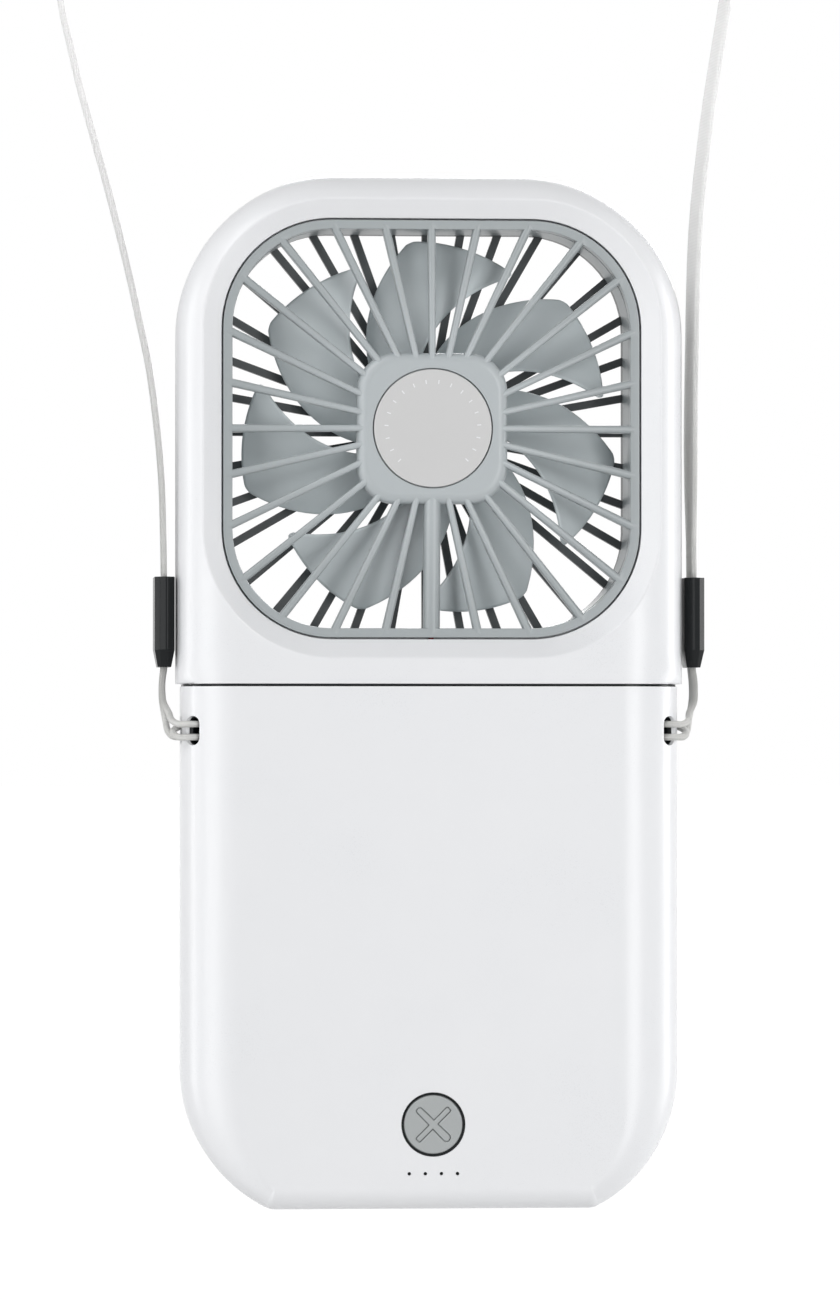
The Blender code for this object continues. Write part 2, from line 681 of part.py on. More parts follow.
def usb_windows():
    """Holes in the foot for the two sockets, which cross the parting plane."""
    tools = []
    for x, (width, height, depth), radius in ((USB_A_X, USB_A_SIZE, USB_A_CORNER), (USB_C_X, USB_C_SIZE, USB_C_CORNER)):
        middle = BOARD_BACK + FIT_GAP + height / 2
        flat = rounded_box(width / 2 + FIT_GAP, height / 2 + FIT_GAP, radius + SEAT_GAP, x, middle)
        tools.append(loft("window", [[(a, b, z) for a, b in flat] for z in (-CUT_PAST, CASE_WALL + 2 * CUT_PAST)]))
    return joined("windows", tools)


def loop_tunnel(side):
    """The ring-shaped tunnel that leaves a round post behind each front corner, for the strap's cord."""
    low = LOOP_HEIGHT - LOOP_TUNNEL_HEIGHT / 2
    high = LOOP_HEIGHT + LOOP_TUNNEL_HEIGHT / 2
    return turned("tunnel", [(low, LOOP_TUNNEL_RADIUS), (high, LOOP_TUNNEL_RADIUS)], axis="Z",
                  x=side * LOOP_POST_X, y=LOOP_POST_Y, sides=28, bore=LOOP_POST_RADIUS)


def base_front_shell(pivot):
    shell = casing_half("base_front_shell", base_edge(BASE_HEIGHT), -1)
    hollow = casing_hollow("hollow", base_edge(BASE_HEIGHT - CASE_WALL), -1, HALF_DEPTH - CASE_WALL)
    reach = LOOP_TUNNEL_HEIGHT / 2 + CASE_WALL
    keep = [column("boss", LOOP_HEIGHT - reach, LOOP_HEIGHT + reach, LOOP_BOSS_RADIUS, "Z",
                   side * LOOP_POST_X, LOOP_POST_Y, sides=20) for side in (-1, 1)]
    keep += screw_bosses(screw_places(BASE_SCREWS), -1)
    keep += [column("boss", -HALF_DEPTH - CUT_PAST, BOARD_FRONT - FIT_GAP, BOARD_BOSS_RADIUS, x=x, z=z, sides=14)
             for x, z in screw_places(BOARD_SCREWS)]
    cut(hollow, joined("kept", keep))
    cut(shell, hollow)
    cut(shell, joined("tunnels", [loop_tunnel(-1), loop_tunnel(1)]), usb_windows())
    face = (-HALF_DEPTH - CUT_PAST, -HALF_DEPTH + CASE_WALL + CUT_PAST)
    drills = [screw_holes(screw_places(BASE_SCREWS), -1)]
    drills += [column("pilot", -HALF_DEPTH + CASE_WALL, 0, SCREW_RADIUS + THREAD_GAP, x=x, z=z)
               for x, z in screw_places(BOARD_SCREWS)]
    drills.append(column("button_hole", *face, BUTTON_RADIUS + BUTTON_GAP, z=BUTTON_HEIGHT, sides=32))
    drills += [column("light_hole", *face, LIGHT_HOLE_RADIUS, x=x, z=LIGHTS_HEIGHT, sides=10) for x in light_places()]
    cut(shell, joined("drills", drills))
    return finish(shell, "case_white", pivot)


def base_rear_shell(pivot):
    shell = casing_half("base_rear_shell", base_edge(BASE_HEIGHT), 1)
    hollow = casing_hollow("hollow", base_edge(BASE_HEIGHT - CASE_WALL), 1, HALF_DEPTH - CASE_WALL)
    cut(hollow, hinge_block(-1), joined("kept", screw_bosses(screw_places(BASE_SCREWS), 1)))
    cut(shell, hollow, usb_windows(), screw_holes(screw_places(BASE_SCREWS), 1))
    cut(shell, lead_hole(BASE_HEIGHT - CASE_WALL - CUT_PAST, BASE_HEIGHT + CUT_PAST))
    cut(shell, knuckle(-KNUCKLE_NEAR, KNUCKLE_NEAR, KNUCKLE_RADIUS + KNUCKLE_CLEARANCE))
    for start, end in ((KNUCKLE_NEAR, KNUCKLE_FAR), (-KNUCKLE_FAR, -KNUCKLE_NEAR)):
        add(shell, knuckle(start, end, KNUCKLE_RADIUS))
        cut(shell, knuckle(start - CUT_PAST, end + CUT_PAST, PIN_RADIUS + PIN_GAP))
    return finish(shell, "case_white", pivot)


def head_hollow(side):
    """The hollow ring between the head's outer wall and the duct round the impeller."""
    hollow = casing_hollow("hollow", head_edge(HEAD_BOTTOM + CASE_WALL), side, HEAD_HOLLOW_DEPTH)
    duct = fan_square(OPENING_HALF + DUCT_WALL, OPENING_CORNER_RADIUS + DUCT_WALL)
    cut(hollow, prism("duct", duct, -HALF_DEPTH, HALF_DEPTH))
    cut(hollow, joined("kept", screw_bosses(screw_places(HEAD_SCREWS), side)))
    return hollow


def opening_tools(side):
    """Cutters for the duct, the recess that seats a grille, and the bevel outside it."""
    ledge = GRILLE_FACE - GRILLE_FRAME_DEPTH - FIT_GAP
    duct = fan_square(OPENING_HALF - LEDGE_WIDTH, OPENING_CORNER_RADIUS - LEDGE_WIDTH)
    recess = fan_square(OPENING_HALF, OPENING_CORNER_RADIUS)
    return (prism("duct_bore", duct, *sorted((-side * CUT_PAST, side * (ledge + CUT_PAST / 2)))),
            prism("recess", recess, *sorted((side * ledge, side * (GRILLE_FACE + CUT_PAST / 2)))),
            opening_bevel("bevel", side))


def head_front_shell(pivot):
    shell = casing_half("head_front_shell", head_edge(HEAD_BOTTOM), -1)
    cut(shell, head_hollow(-1), *opening_tools(-1))
    cut(shell, screw_holes(screw_places(HEAD_SCREWS), -1))
    low = FAN_HEIGHT - OPENING_HALF - DUCT_WALL - CUT_PAST
    high = FAN_HEIGHT - OPENING_HALF + LEDGE_WIDTH + CUT_PAST
    cut(shell, column("lead_way", low, high, LEAD_RADIUS + LEAD_HOLE_GAP, "Z", y=LEAD_Y, sides=10))
    return finish(shell, "case_white", pivot)


def head_rear_shell(pivot):
    shell = casing_half("head_rear_shell", head_edge(HEAD_BOTTOM), 1)
    hollow = cut(head_hollow(1), hinge_block(1))
    cut(shell, hollow, *opening_tools(1))
    cut(shell, screw_holes(screw_places(HEAD_SCREWS), 1))
    cut(shell, lead_hole(HEAD_BOTTOM - CUT_PAST, HEAD_BOTTOM + CASE_WALL + CUT_PAST))
    near, far = HEAD_KNUCKLE_HALF, KNUCKLE_FAR + WASHER_GAP
    for start, end in ((near, far), (-far, -near)):
        cut(shell, knuckle(start, end, KNUCKLE_RADIUS + KNUCKLE_CLEARANCE))
    add(shell, knuckle(-near, near, KNUCKLE_RADIUS))
    cut(shell, knuckle(-near - CUT_PAST, near + CUT_PAST, PIN_RADIUS + PIN_GAP))
    return finish(shell, "case_white", pivot)


def hinge_pins(pivot):
    """One steel pin through all the knuckles, with a friction washer at each side of the middle one."""
    reach = KNUCKLE_FAR - FIT_GAP
    thin = PIN_RADIUS - PIN_CHAMFER
    pin = turned("hinge_pin", [(-reach, thin), (-reach + PIN_CHAMFER, PIN_RADIUS), (reach - PIN_CHAMFER, PIN_RADIUS),
                               (reach, thin)], axis="X", y=HINGE_Y, z=HINGE_Z, sides=16)
    finish(pin, "steel", pivot)
    for word, side in (("left", -1), ("right", 1)):
        near = HEAD_KNUCKLE_HALF + WASHER_GAP
        ends = sorted((side * near, side * (near + WASHER_THICKNESS)))
        radius = KNUCKLE_RADIUS - WASHER_INSET
        washer = turned("hinge_washer_" + word, [(ends[0], radius), (ends[1], radius)], axis="X",
                        y=HINGE_Y, z=HINGE_Z, sides=16, bore=PIN_RADIUS + PIN_GAP)
        finish(washer, "steel", pivot)


def reach_to_square(turn, half, radius):
    """Distance from the centre to a rounded square's edge, in a direction turned from straight up."""
    across, up = abs(math.sin(turn)), abs(math.cos(turn))
    flat = half / max(across, up)
    if min(across, up) * flat <= half - radius:
        return flat
    corner = half - radius
    along = corner * (across + up)
    return along + math.sqrt(max(0.0, along * along - 2 * corner * corner + radius * radius))


def spoke(turn, start, end, widths, faces, backs):
    """A tapered bar with a rounded front, from the hub out to the frame; faces and backs are Y places."""
    rings = []
    for distance, width, face, back in zip((start, end), widths, faces, backs):
        half, flat = width / 2, width / 2 * SPOKE_FLAT
        shoulder = face - math.copysign(width * SPOKE_CROWN, face - back)
        section = [(-half, back), (half, back), (half, shoulder), (flat, face), (-flat, face), (-half, shoulder)]
        ring = []
        for across, y in section:
            ring.append((distance * math.sin(turn) + across * math.cos(turn), y,
                         FAN_HEIGHT + distance * math.cos(turn) - across * math.sin(turn)))
        rings.append(ring)
    return loft("spoke", rings)


def grille_frame(name, side):
    half, radius = OPENING_HALF - FIT_GAP, OPENING_CORNER_RADIUS - FIT_GAP
    outer = fan_square(half, radius)
    inner = fan_square(half - GRILLE_FRAME_WIDTH, radius - GRILLE_FRAME_WIDTH)
    start, end = sorted((side * GRILLE_FACE, side * (GRILLE_FACE - GRILLE_FRAME_DEPTH)))
    return frame_ring(name, outer, inner, start, end)


def frame_reach(turn):
    """Distance from the fan's axis to the middle of a grille's frame."""
    inset = FIT_GAP + GRILLE_FRAME_WIDTH / 2
    return reach_to_square(turn, OPENING_HALF - inset, OPENING_CORNER_RADIUS - inset)


def front_hub():
    """The domed hub, with a shallow pocket for its cap."""
    rings = [at_depth(fan_square(HUB_HALF, HUB_CORNER_RADIUS, 5), HUB_BACK)]
    for turn in (0.0, math.pi / 4, math.pi / 2):
        draw = HUB_ROUND_WIDTH * (1 - math.cos(turn))
        outline = fan_square(HUB_HALF - draw, HUB_CORNER_RADIUS - draw * HUB_CORNER_SHARE, 5)
        rings.append(at_depth(outline, HUB_FRONT + HUB_ROUND_DEPTH * (1 - math.sin(turn))))
    return cut(loft("hub", rings), column("pocket", HUB_FRONT - CUT_PAST, HUB_FRONT + CAP_THICKNESS,
                                          CAP_RADIUS + CAP_GAP, z=FAN_HEIGHT, sides=40))


def front_bars():
    faces = (HUB_FRONT + SPOKE_BELOW_HUB, -GRILLE_FACE - SPOKE_PROUD)
    backs = (HUB_FRONT + SPOKE_BELOW_HUB + SPOKE_DEPTH, -GRILLE_FACE + SPOKE_DEPTH)
    bars = []
    for k in range(FRONT_SPOKES):
        turn = 2 * math.pi * k / FRONT_SPOKES
        start = reach_to_square(turn, HUB_HALF, HUB_CORNER_RADIUS) - SPOKE_ON_HUB
        cable = 2 * k == FRONT_SPOKES
        widths = (CABLE_BAR_WIDTH, CABLE_BAR_WIDTH) if cable else (SPOKE_HUB_WIDTH, FRONT_SPOKE_WIDTH)
        bars.append(spoke(turn, start, frame_reach(turn), widths, faces, backs))
    return joined("bars", bars)


def front_grille(pivot):
    """Frame, domed hub and radial bars in one moulding, with the motor's bearing tube behind the hub."""
    grille = add(grille_frame("front_grille", -1), front_hub(), front_bars())
    add(grille, column("bearing_tube", HUB_BACK - CUT_PAST, TUBE_END, TUBE_RADIUS, z=FAN_HEIGHT, sides=20))
    cut(grille, column("tube_bore", HUB_BACK + TUBE_FLOOR, TUBE_END + CUT_PAST, TUBE_BORE, z=FAN_HEIGHT, sides=20))
    groove = CABLE_GROOVE_WIDTH / 2
    cut(grille, box("cable_groove", (-groove, LEAD_Y - LEAD_RADIUS - FIT_GAP, FAN_HEIGHT - OPENING_HALF),
                    (groove, ROTOR_FRONT, FAN_HEIGHT - MOTOR_BOARD_RADIUS + CUT_PAST / 2)))
    return finish(grille, "grille_grey", pivot)


def hub_cap(pivot):
    edge_back = HUB_FRONT - CAP_RISE + CAP_EDGE
    cap = turned("hub_cap", [(HUB_FRONT + CAP_THICKNESS - CAP_GAP, CAP_RADIUS), (edge_back, CAP_RADIUS),
                             (HUB_FRONT - CAP_RISE, CAP_RADIUS - CAP_EDGE)], z=FAN_HEIGHT, sides=40)
    return finish(cap, "cap_grey", pivot)


def rear_grille(pivot):
    """A finer grille behind the blades: a round hub and plain bars in the same frame."""
    face = GRILLE_FACE + REAR_HUB_RISE
    hub = turned("hub", [(face - REAR_HUB_THICKNESS, REAR_HUB_RADIUS), (face - REAR_HUB_EDGE, REAR_HUB_RADIUS),
                         (face, REAR_HUB_RADIUS - REAR_HUB_EDGE)], z=FAN_HEIGHT, sides=36)
    faces = (face - SPOKE_BELOW_HUB, GRILLE_FACE - REAR_SPOKE_SUNK)
    backs = (face - SPOKE_BELOW_HUB - REAR_SPOKE_DEPTH, GRILLE_FACE - SPOKE_DEPTH)
    widths = (REAR_SPOKE_WIDTH, REAR_SPOKE_WIDTH)
    turns = [2 * math.pi * k / REAR_SPOKES for k in range(REAR_SPOKES)]
    bars = [spoke(turn, REAR_HUB_RADIUS - SPOKE_ON_HUB, frame_reach(turn), widths, faces, backs) for turn in turns]
    return finish(add(grille_frame("rear_grille", 1), hub, joined("bars", bars)), "grille_dark", pivot)


def blade_point(across, out):
    """A point of a blade's middle surface: across 0 is the swept edge at the rear, 1 the pointed edge in front."""
    root = ROTOR_RADIUS - ROTOR_WALL / 2
    tip = BLADE_TIP_RADIUS - BLADE_TIP_FALL * across ** BLADE_TIP_CURVE
    tip -= BLADE_TIP_ROUND * max(0.0, 1 - across / BLADE_TIP_EASE) ** 2
    radius = root + (tip - root) * out
    turn = math.radians(BLADE_START_ANGLE + BLADE_SWEEP * (radius - root) + BLADE_SPAN_ANGLE * across)
    y = BLADE_REAR + (BLADE_FRONT - BLADE_REAR) * across + BLADE_CAMBER * math.sin(math.pi * across)
    y += BLADE_THICKNESS * (across - 0.5)
    return Vector((radius * math.sin(turn), y, FAN_HEIGHT + radius * math.cos(turn)))


def blade(start_turn, columns=6, rows=5):
    """One swept, cambered blade as a closed sheet of even thickness, turned about the shaft."""
    step = 0.01
    front, back = [], []
    for row in range(rows + 1):
        for column in range(columns + 1):
            across, out = column / columns, row / rows
            here = blade_point(across, out)
            along = blade_point(min(across + step, 1), out) - blade_point(max(across - step, 0), out)
            outward = blade_point(across, min(out + step, 1)) - blade_point(across, max(out - step, 0))
            normal = along.cross(outward).normalized()
            if normal.y > 0:
                normal.negate()
            thin = BLADE_EDGE_SHARE if column in (0, columns) else 1.0
            front.append(here + normal * BLADE_THICKNESS / 2 * thin)
            back.append(here - normal * BLADE_THICKNESS / 2 * thin)
    points = []
    for point in front + back:
        x, z = point.x, point.z - FAN_HEIGHT
        points.append((x * math.cos(start_turn) + z * math.sin(start_turn), point.y,
                       FAN_HEIGHT - x * math.sin(start_turn) + z * math.cos(start_turn)))
    wide = columns + 1
    offset = len(front)
    faces = []
    for row in range(rows):
        for column in range(columns):
            corner = row * wide + column
            loop = (corner, corner + 1, corner + wide + 1, corner + wide)
            faces.append(loop)
            faces.append(tuple(offset + i for i in reversed(loop)))
    border = list(range(wide))
    border += [row * wide + columns for row in range(1, rows + 1)]
    border += [rows * wide + column for column in range(columns - 1, -1, -1)]
    border += [row * wide for row in range(rows - 1, 0, -1)]
    for i, this in enumerate(border):
        following = border[(i + 1) % len(border)]
        faces.append((following, this, this + offset, following + offset))
    return solid("blade", points, faces)


def impeller(pivot):
    """A cup over the motor with seven swept blades; the shaft is pressed into its middle boss."""
    cup = turned("impeller", [(ROTOR_FRONT, ROTOR_RADIUS), (ROTOR_REAR - ROTOR_EDGE, ROTOR_RADIUS),
                              (ROTOR_REAR, ROTOR_RADIUS - ROTOR_EDGE), (ROTOR_REAR, ROTOR_BOSS_RADIUS),
                              (ROTOR_REAR + ROTOR_BOSS_RISE, ROTOR_BOSS_RADIUS - ROTOR_EDGE)], z=FAN_HEIGHT, sides=36)
    add(cup, joined("blades", [blade(2 * math.pi * k / BLADES) for k in range(BLADES)]))
    cut(cup, column("cup_hollow", ROTOR_FRONT - CUT_PAST, PLATE_FRONT, ROTOR_INNER, z=FAN_HEIGHT, sides=36),
        column("shaft_seat", PLATE_FRONT - CUT_PAST, SHAFT_SEAT_END, SHAFT_RADIUS + THREAD_GAP, z=FAN_HEIGHT))
    return finish(cup, "blade_grey", pivot)


def rotor_parts(pivot):
    """What turns with the impeller: the steel yoke, the ring magnet and the shaft."""
    yoke = column("rotor_yoke", ROTOR_FRONT + YOKE_SETBACK, YOKE_REAR, YOKE_OUTER, z=FAN_HEIGHT, sides=36)
    cut(yoke, column("yoke_hollow", ROTOR_FRONT - CUT_PAST, YOKE_REAR - YOKE_THICKNESS, YOKE_INNER, z=FAN_HEIGHT,
                     sides=36),
        column("yoke_eye", YOKE_REAR - YOKE_THICKNESS - CUT_PAST, YOKE_REAR + CUT_PAST, TUBE_BORE, z=FAN_HEIGHT,
               sides=16))
    finish(yoke, "steel", pivot)
    low, high = ROTOR_FRONT + MAGNET_SETBACK, CORE_REAR + MAGNET_PAST
    magnet = turned("rotor_magnet", [(low, MAGNET_OUTER), (high, MAGNET_OUTER)], z=FAN_HEIGHT, sides=36,
                    bore=MAGNET_OUTER - MAGNET_THICKNESS)
    finish(magnet, "magnet_black", pivot)
    front = HUB_BACK + TUBE_FLOOR + SHAFT_FLOAT
    shaft = turned("rotor_shaft", [(front, SHAFT_RADIUS - SHAFT_POINT), (front + SHAFT_POINT, SHAFT_RADIUS),
                                   (SHAFT_SEAT_END - FIT_GAP, SHAFT_RADIUS)], z=FAN_HEIGHT, sides=12)
    finish(shaft, "steel", pivot)


def core_outline():
    """The four-pole lamination: a ring with four arms that widen into shoes at the air gap."""
    inner = TUBE_RADIUS + RUNNING_GAP + CORE_RING
    shoe_in = POLE_RADIUS - POLE_SHOE
    arm_in = math.asin(CORE_ARM_WIDTH / 2 / inner)
    arm_out = math.asin(CORE_ARM_WIDTH / 2 / shoe_in)
    quarter = math.pi / 2
    spots = [(inner, -arm_in), (shoe_in, -arm_out), (shoe_in + POLE_SHOE_FOOT, -POLE_SHOE_ANGLE)]
    spots += [(POLE_RADIUS, POLE_SHOE_ANGLE * step / 2) for step in range(-2, 3)]
    spots += [(shoe_in + POLE_SHOE_FOOT, POLE_SHOE_ANGLE), (shoe_in, arm_out), (inner, arm_in)]
    spots += [(inner, arm_in + (quarter - 2 * arm_in) * step / 4) for step in (1, 2, 3)]
    outline = []
    for pole in range(POLES):
        middle = quarter * (pole + 0.5)
        outline += [(r * math.cos(middle + a), FAN_HEIGHT + r * math.sin(middle + a)) for r, a in spots]
    return outline


def stator_parts(pivot):
    """What the hub carries inside the rotor: driver board, laminated core, four coils and the bush."""
    front = HUB_BACK + FIT_GAP
    eye = TUBE_RADIUS + RUNNING_GAP
    board = turned("motor_board", [(front, MOTOR_BOARD_RADIUS), (front + MOTOR_BOARD_THICKNESS, MOTOR_BOARD_RADIUS)],
                   z=FAN_HEIGHT, sides=32, bore=eye)
    finish(board, "board_green", pivot)
    core = prism("stator_core", core_outline(), CORE_FRONT, CORE_REAR)
    cut(core, column("core_bore", CORE_FRONT - CUT_PAST, CORE_REAR + CUT_PAST, eye, z=FAN_HEIGHT, sides=20))
    finish(core, "steel", pivot)
    near, far = eye + CORE_RING + COIL_FROM_RING, POLE_RADIUS - POLE_SHOE - COIL_FROM_SHOE
    for pole in range(POLES):
        turn = math.pi / 2 * (pole + 0.5)
        rings = []
        for distance, past in ((near, COIL_BUILD), (far, COIL_BUILD), (far, SEAT_GAP), (near, SEAT_GAP)):
            half = CORE_ARM_WIDTH / 2 + past
            section = [(-half, CORE_FRONT - past), (half, CORE_FRONT - past), (half, CORE_REAR + past),
                       (-half, CORE_REAR + past)]
            rings.append([(distance * math.cos(turn) - across * math.sin(turn), y,
                           FAN_HEIGHT + distance * math.sin(turn) + across * math.cos(turn)) for across, y in section])
        finish(loft("coil_%d" % (pole + 1), rings, closed=True), "copper", pivot)
    low, high, radius = HUB_BACK + TUBE_FLOOR + BUSH_SETBACK, TUBE_END - THREAD_GAP, TUBE_BORE - RUNNING_GAP
    bush = turned("bearing_bush", [(low, radius), (high, radius)], z=FAN_HEIGHT, sides=20,
                  bore=SHAFT_RADIUS + RUNNING_GAP)
    finish(bush, "brass", pivot)


def screw(name, seat, tip, pivot, x, z):
    head = seat + SCREW_HEAD_HEIGHT
    made = turned(name, [(tip, SCREW_RADIUS * SCREW_POINT_SHARE), (tip + SCREW_POINT, SCREW_RADIUS),
                         (seat, SCREW_RADIUS), (seat, SCREW_HEAD_RADIUS), (head - SCREW_HEAD_EDGE, SCREW_HEAD_RADIUS),
                         (head, SCREW_HEAD_RADIUS - SCREW_HEAD_EDGE)], x=x, z=z, sides=8)
    finish(made, "steel", pivot)


def screws(base, head):
    """Four long screws in each case, and two short ones in the board."""
    for number, (x, z) in enumerate(screw_places(BASE_SCREWS), 1):
        screw("base_screw_%d" % number, SCREW_SEAT + SEAT_GAP, SCREW_TIP, base, x, z)
    for number, (x, z) in enumerate(screw_places(HEAD_SCREWS), 1):
        screw("head_screw_%d" % number, SCREW_SEAT + SEAT_GAP, SCREW_TIP, head, x, z)
    for word, (x, z) in zip(("left", "right"), screw_places(BOARD_SCREWS)):
        screw("board_screw_" + word, BOARD_BACK + SEAT_GAP, BOARD_FRONT - BOARD_SCREW_LENGTH, base, x, z)


def light_places():
    return [LIGHT_PITCH * (k - (LIGHTS - 1) / 2) for k in range(LIGHTS)]


def electronics(pivot):
    """The board behind the key with its switch and light guide, and the flat cell above it."""
    outline = rounded_box(BOARD_HALF_WIDTH, (BOARD_TOP - BOARD_BOTTOM) / 2, BOARD_CORNER_RADIUS, 0,
                          (BOARD_TOP + BOARD_BOTTOM) / 2)
    board = prism("circuit_board", outline, BOARD_FRONT, BOARD_BACK)
    cut(board, joined("board_holes", [column("hole", BOARD_FRONT - CUT_PAST, BOARD_BACK + CUT_PAST,
                                             SCREW_RADIUS + FIT_GAP, x=x, z=z) for x, z in screw_places(BOARD_SCREWS)]))
    finish(board, "board_green", pivot)
    half = SWITCH_SIZE / 2
    switch = box("tact_switch", (-half, SWITCH_FRONT, BUTTON_HEIGHT - half), (half, SWITCH_BACK, BUTTON_HEIGHT + half))
    cut(switch, column("well", SWITCH_FRONT - CUT_PAST, SWITCH_FRONT + BUTTON_TRAVEL + PLUNGER_FLOOR,
                       PLUNGER_RADIUS + PLUNGER_GAP, z=BUTTON_HEIGHT, sides=20))
    finish(switch, "socket_black", pivot)
    front = -HALF_DEPTH + CASE_WALL + LIGHT_GUIDE_GAP
    places = light_places()
    guide = box("light_guide", (places[0] - LIGHT_GUIDE_MARGIN, front, LIGHTS_HEIGHT - LIGHT_GUIDE_HALF),
                (places[-1] + LIGHT_GUIDE_MARGIN, BOARD_FRONT - FIT_GAP, LIGHTS_HEIGHT + LIGHT_GUIDE_HALF))
    pins = [column("pin", -HALF_DEPTH + LIGHT_PIN_SETBACK, front + SEAT_GAP, LIGHT_HOLE_RADIUS - LIGHT_PIN_GAP, x=x,
                   z=LIGHTS_HEIGHT, sides=8) for x in places]
    finish(add(guide, joined("pins", pins)), "light_smoked", pivot)
    rings = []
    for y, draw in ((BATTERY_FRONT, BATTERY_ROUND), (BATTERY_FRONT + BATTERY_ROUND, 0.0),
                    (BATTERY_BACK - BATTERY_ROUND, 0.0), (BATTERY_BACK, BATTERY_ROUND)):
        outline = rounded_box(BATTERY_HALF_WIDTH - draw, (BATTERY_HIGH - BATTERY_LOW) / 2 - draw,
                              BATTERY_CORNER_RADIUS, 0, (BATTERY_HIGH + BATTERY_LOW) / 2)
        rings.append(at_depth(outline, y))
    finish(loft("battery_cell", rings), "cell_silver", pivot)


def sockets(pivot):
    """The two USB sockets on the board's rear side: a metal shell round a contact tongue, open at the foot."""
    shift = USB_A_SIZE[1] / 2 - SOCKET_METAL - USB_A_TONGUE_GAP - USB_A_TONGUE[1] / 2
    for name, x, (width, height, depth), radius, (tongue_width, tongue_height), lift in (
            ("usb_a_socket", USB_A_X, USB_A_SIZE, USB_A_CORNER, USB_A_TONGUE, shift),
            ("usb_c_socket", USB_C_X, USB_C_SIZE, USB_C_CORNER, USB_C_TONGUE, 0.0)):
        middle = BOARD_BACK + SEAT_GAP + height / 2
        outer = rounded_box(width / 2, height / 2, radius, x, middle)
        inner = rounded_box(width / 2 - SOCKET_METAL, height / 2 - SOCKET_METAL, max(radius - SOCKET_METAL, 0.05), x,
                            middle)
        low, high = SOCKET_FROM_FOOT, SOCKET_FROM_FOOT + depth
        shell = loft(name, [[(a, b, z) for a, b in outer] for z in (low, high)])
        cut(shell, loft("well", [[(a, b, z) for a, b in inner] for z in (low - CUT_PAST, high - SOCKET_FLOOR)]))
        lip = box("tongue", (x - tongue_width / 2, middle + lift - tongue_height / 2, low + TONGUE_SETBACK),
                  (x + tongue_width / 2, middle + lift + tongue_height / 2, high - SOCKET_FLOOR / 2))
        finish(add(shell, lip), "steel", pivot)


def power_button(pivot):
    """A round key with a cross mark, a retaining flange and a stem that meets the switch's plunger."""
    face = -HALF_DEPTH + BUTTON_SETBACK
    flange = -HALF_DEPTH + CASE_WALL + FIT_GAP
    flange_back, wide = flange + BUTTON_FLANGE_THICKNESS, BUTTON_RADIUS + BUTTON_FLANGE
    key = turned("power_button", [(face, BUTTON_RADIUS - BUTTON_EDGE), (face + BUTTON_EDGE, BUTTON_RADIUS),
                                  (flange, BUTTON_RADIUS), (flange, wide), (flange_back, wide),
                                  (flange_back, BUTTON_STEM_RADIUS), (STEM_END, BUTTON_STEM_RADIUS)],
                 z=BUTTON_HEIGHT, sides=32)
    arms = []
    half, thin = SYMBOL_ARM_LENGTH / 2, SYMBOL_ARM_WIDTH / 2
    for turn, past in ((math.radians(45), CUT_PAST), (math.radians(-45), CUT_PAST / 2)):
        flat = [(a * math.cos(turn) - b * math.sin(turn), BUTTON_HEIGHT + a * math.sin(turn) + b * math.cos(turn))
                for a, b in ((-half, -thin), (half, -thin), (half, thin), (-half, thin))]
        arms.append(prism("arm", flat, face - past, face + SYMBOL_DEPTH))
    finish(cut(key, *arms), "button_grey", pivot)
    plunger = column("switch_plunger", STEM_END + SEAT_GAP, SWITCH_FRONT + PLUNGER_IN_SWITCH, PLUNGER_RADIUS,
                     z=BUTTON_HEIGHT, sides=16)
    finish(plunger, "clip_black", pivot)


def lead_hole(low, high):
    return column("lead_hole", low, high, LEAD_RADIUS + LEAD_HOLE_GAP, "Z", LEAD_X, LEAD_SEAM_Y, sides=10)


def smooth_route(points, spacing):
    """Points at an even spacing on the smooth curve through a route's own points."""
    own = [np.array(point, dtype=float) for point in points]
    padded = [2 * own[0] - own[1]] + own + [2 * own[-1] - own[-2]]
    fine = []
    for before, start, end, after in zip(padded, padded[1:], padded[2:], padded[3:]):
        for t in np.linspace(0, 1, 24, endpoint=False):
            fine.append(0.5 * (2 * start + (end - before) * t + (2 * before - 5 * start + 4 * end - after) * t * t
                               + (3 * start - before - 3 * end + after) * t ** 3))
    fine = np.array(fine + [own[-1]])
    travelled = np.concatenate(([0], np.cumsum(np.linalg.norm(np.diff(fine, axis=0), axis=1))))
    count = max(2, round(travelled[-1] / spacing))
    stops = np.linspace(0, travelled[-1], count + 1)
    return np.column_stack([np.interp(stops, travelled, fine[:, k]) for k in range(3)]), travelled[-1]


def tube(name, route, radius, paint, pivot, resolution=1):
    """A cord along a route, as a bevelled curve with filled ends."""
    curve = bpy.data.curves.new(name, "CURVE")
    curve.dimensions = "3D"
    curve.bevel_depth = radius * MM
    curve.bevel_resolution = resolution
    curve.use_fill_caps = True
    spline = curve.splines.new("POLY")
    spline.points.add(len(route) - 1)
    place = Vector(pivot["place"])
    for spot, point in zip(spline.points, route):
        spot.co = (*((Vector(point) - place) * MM), 1.0)
    curve.materials.append(material(paint))
    made = bpy.data.objects.new(name, curve)
    bpy.context.scene.collection.objects.link(made)
    made.parent = pivot
    return made


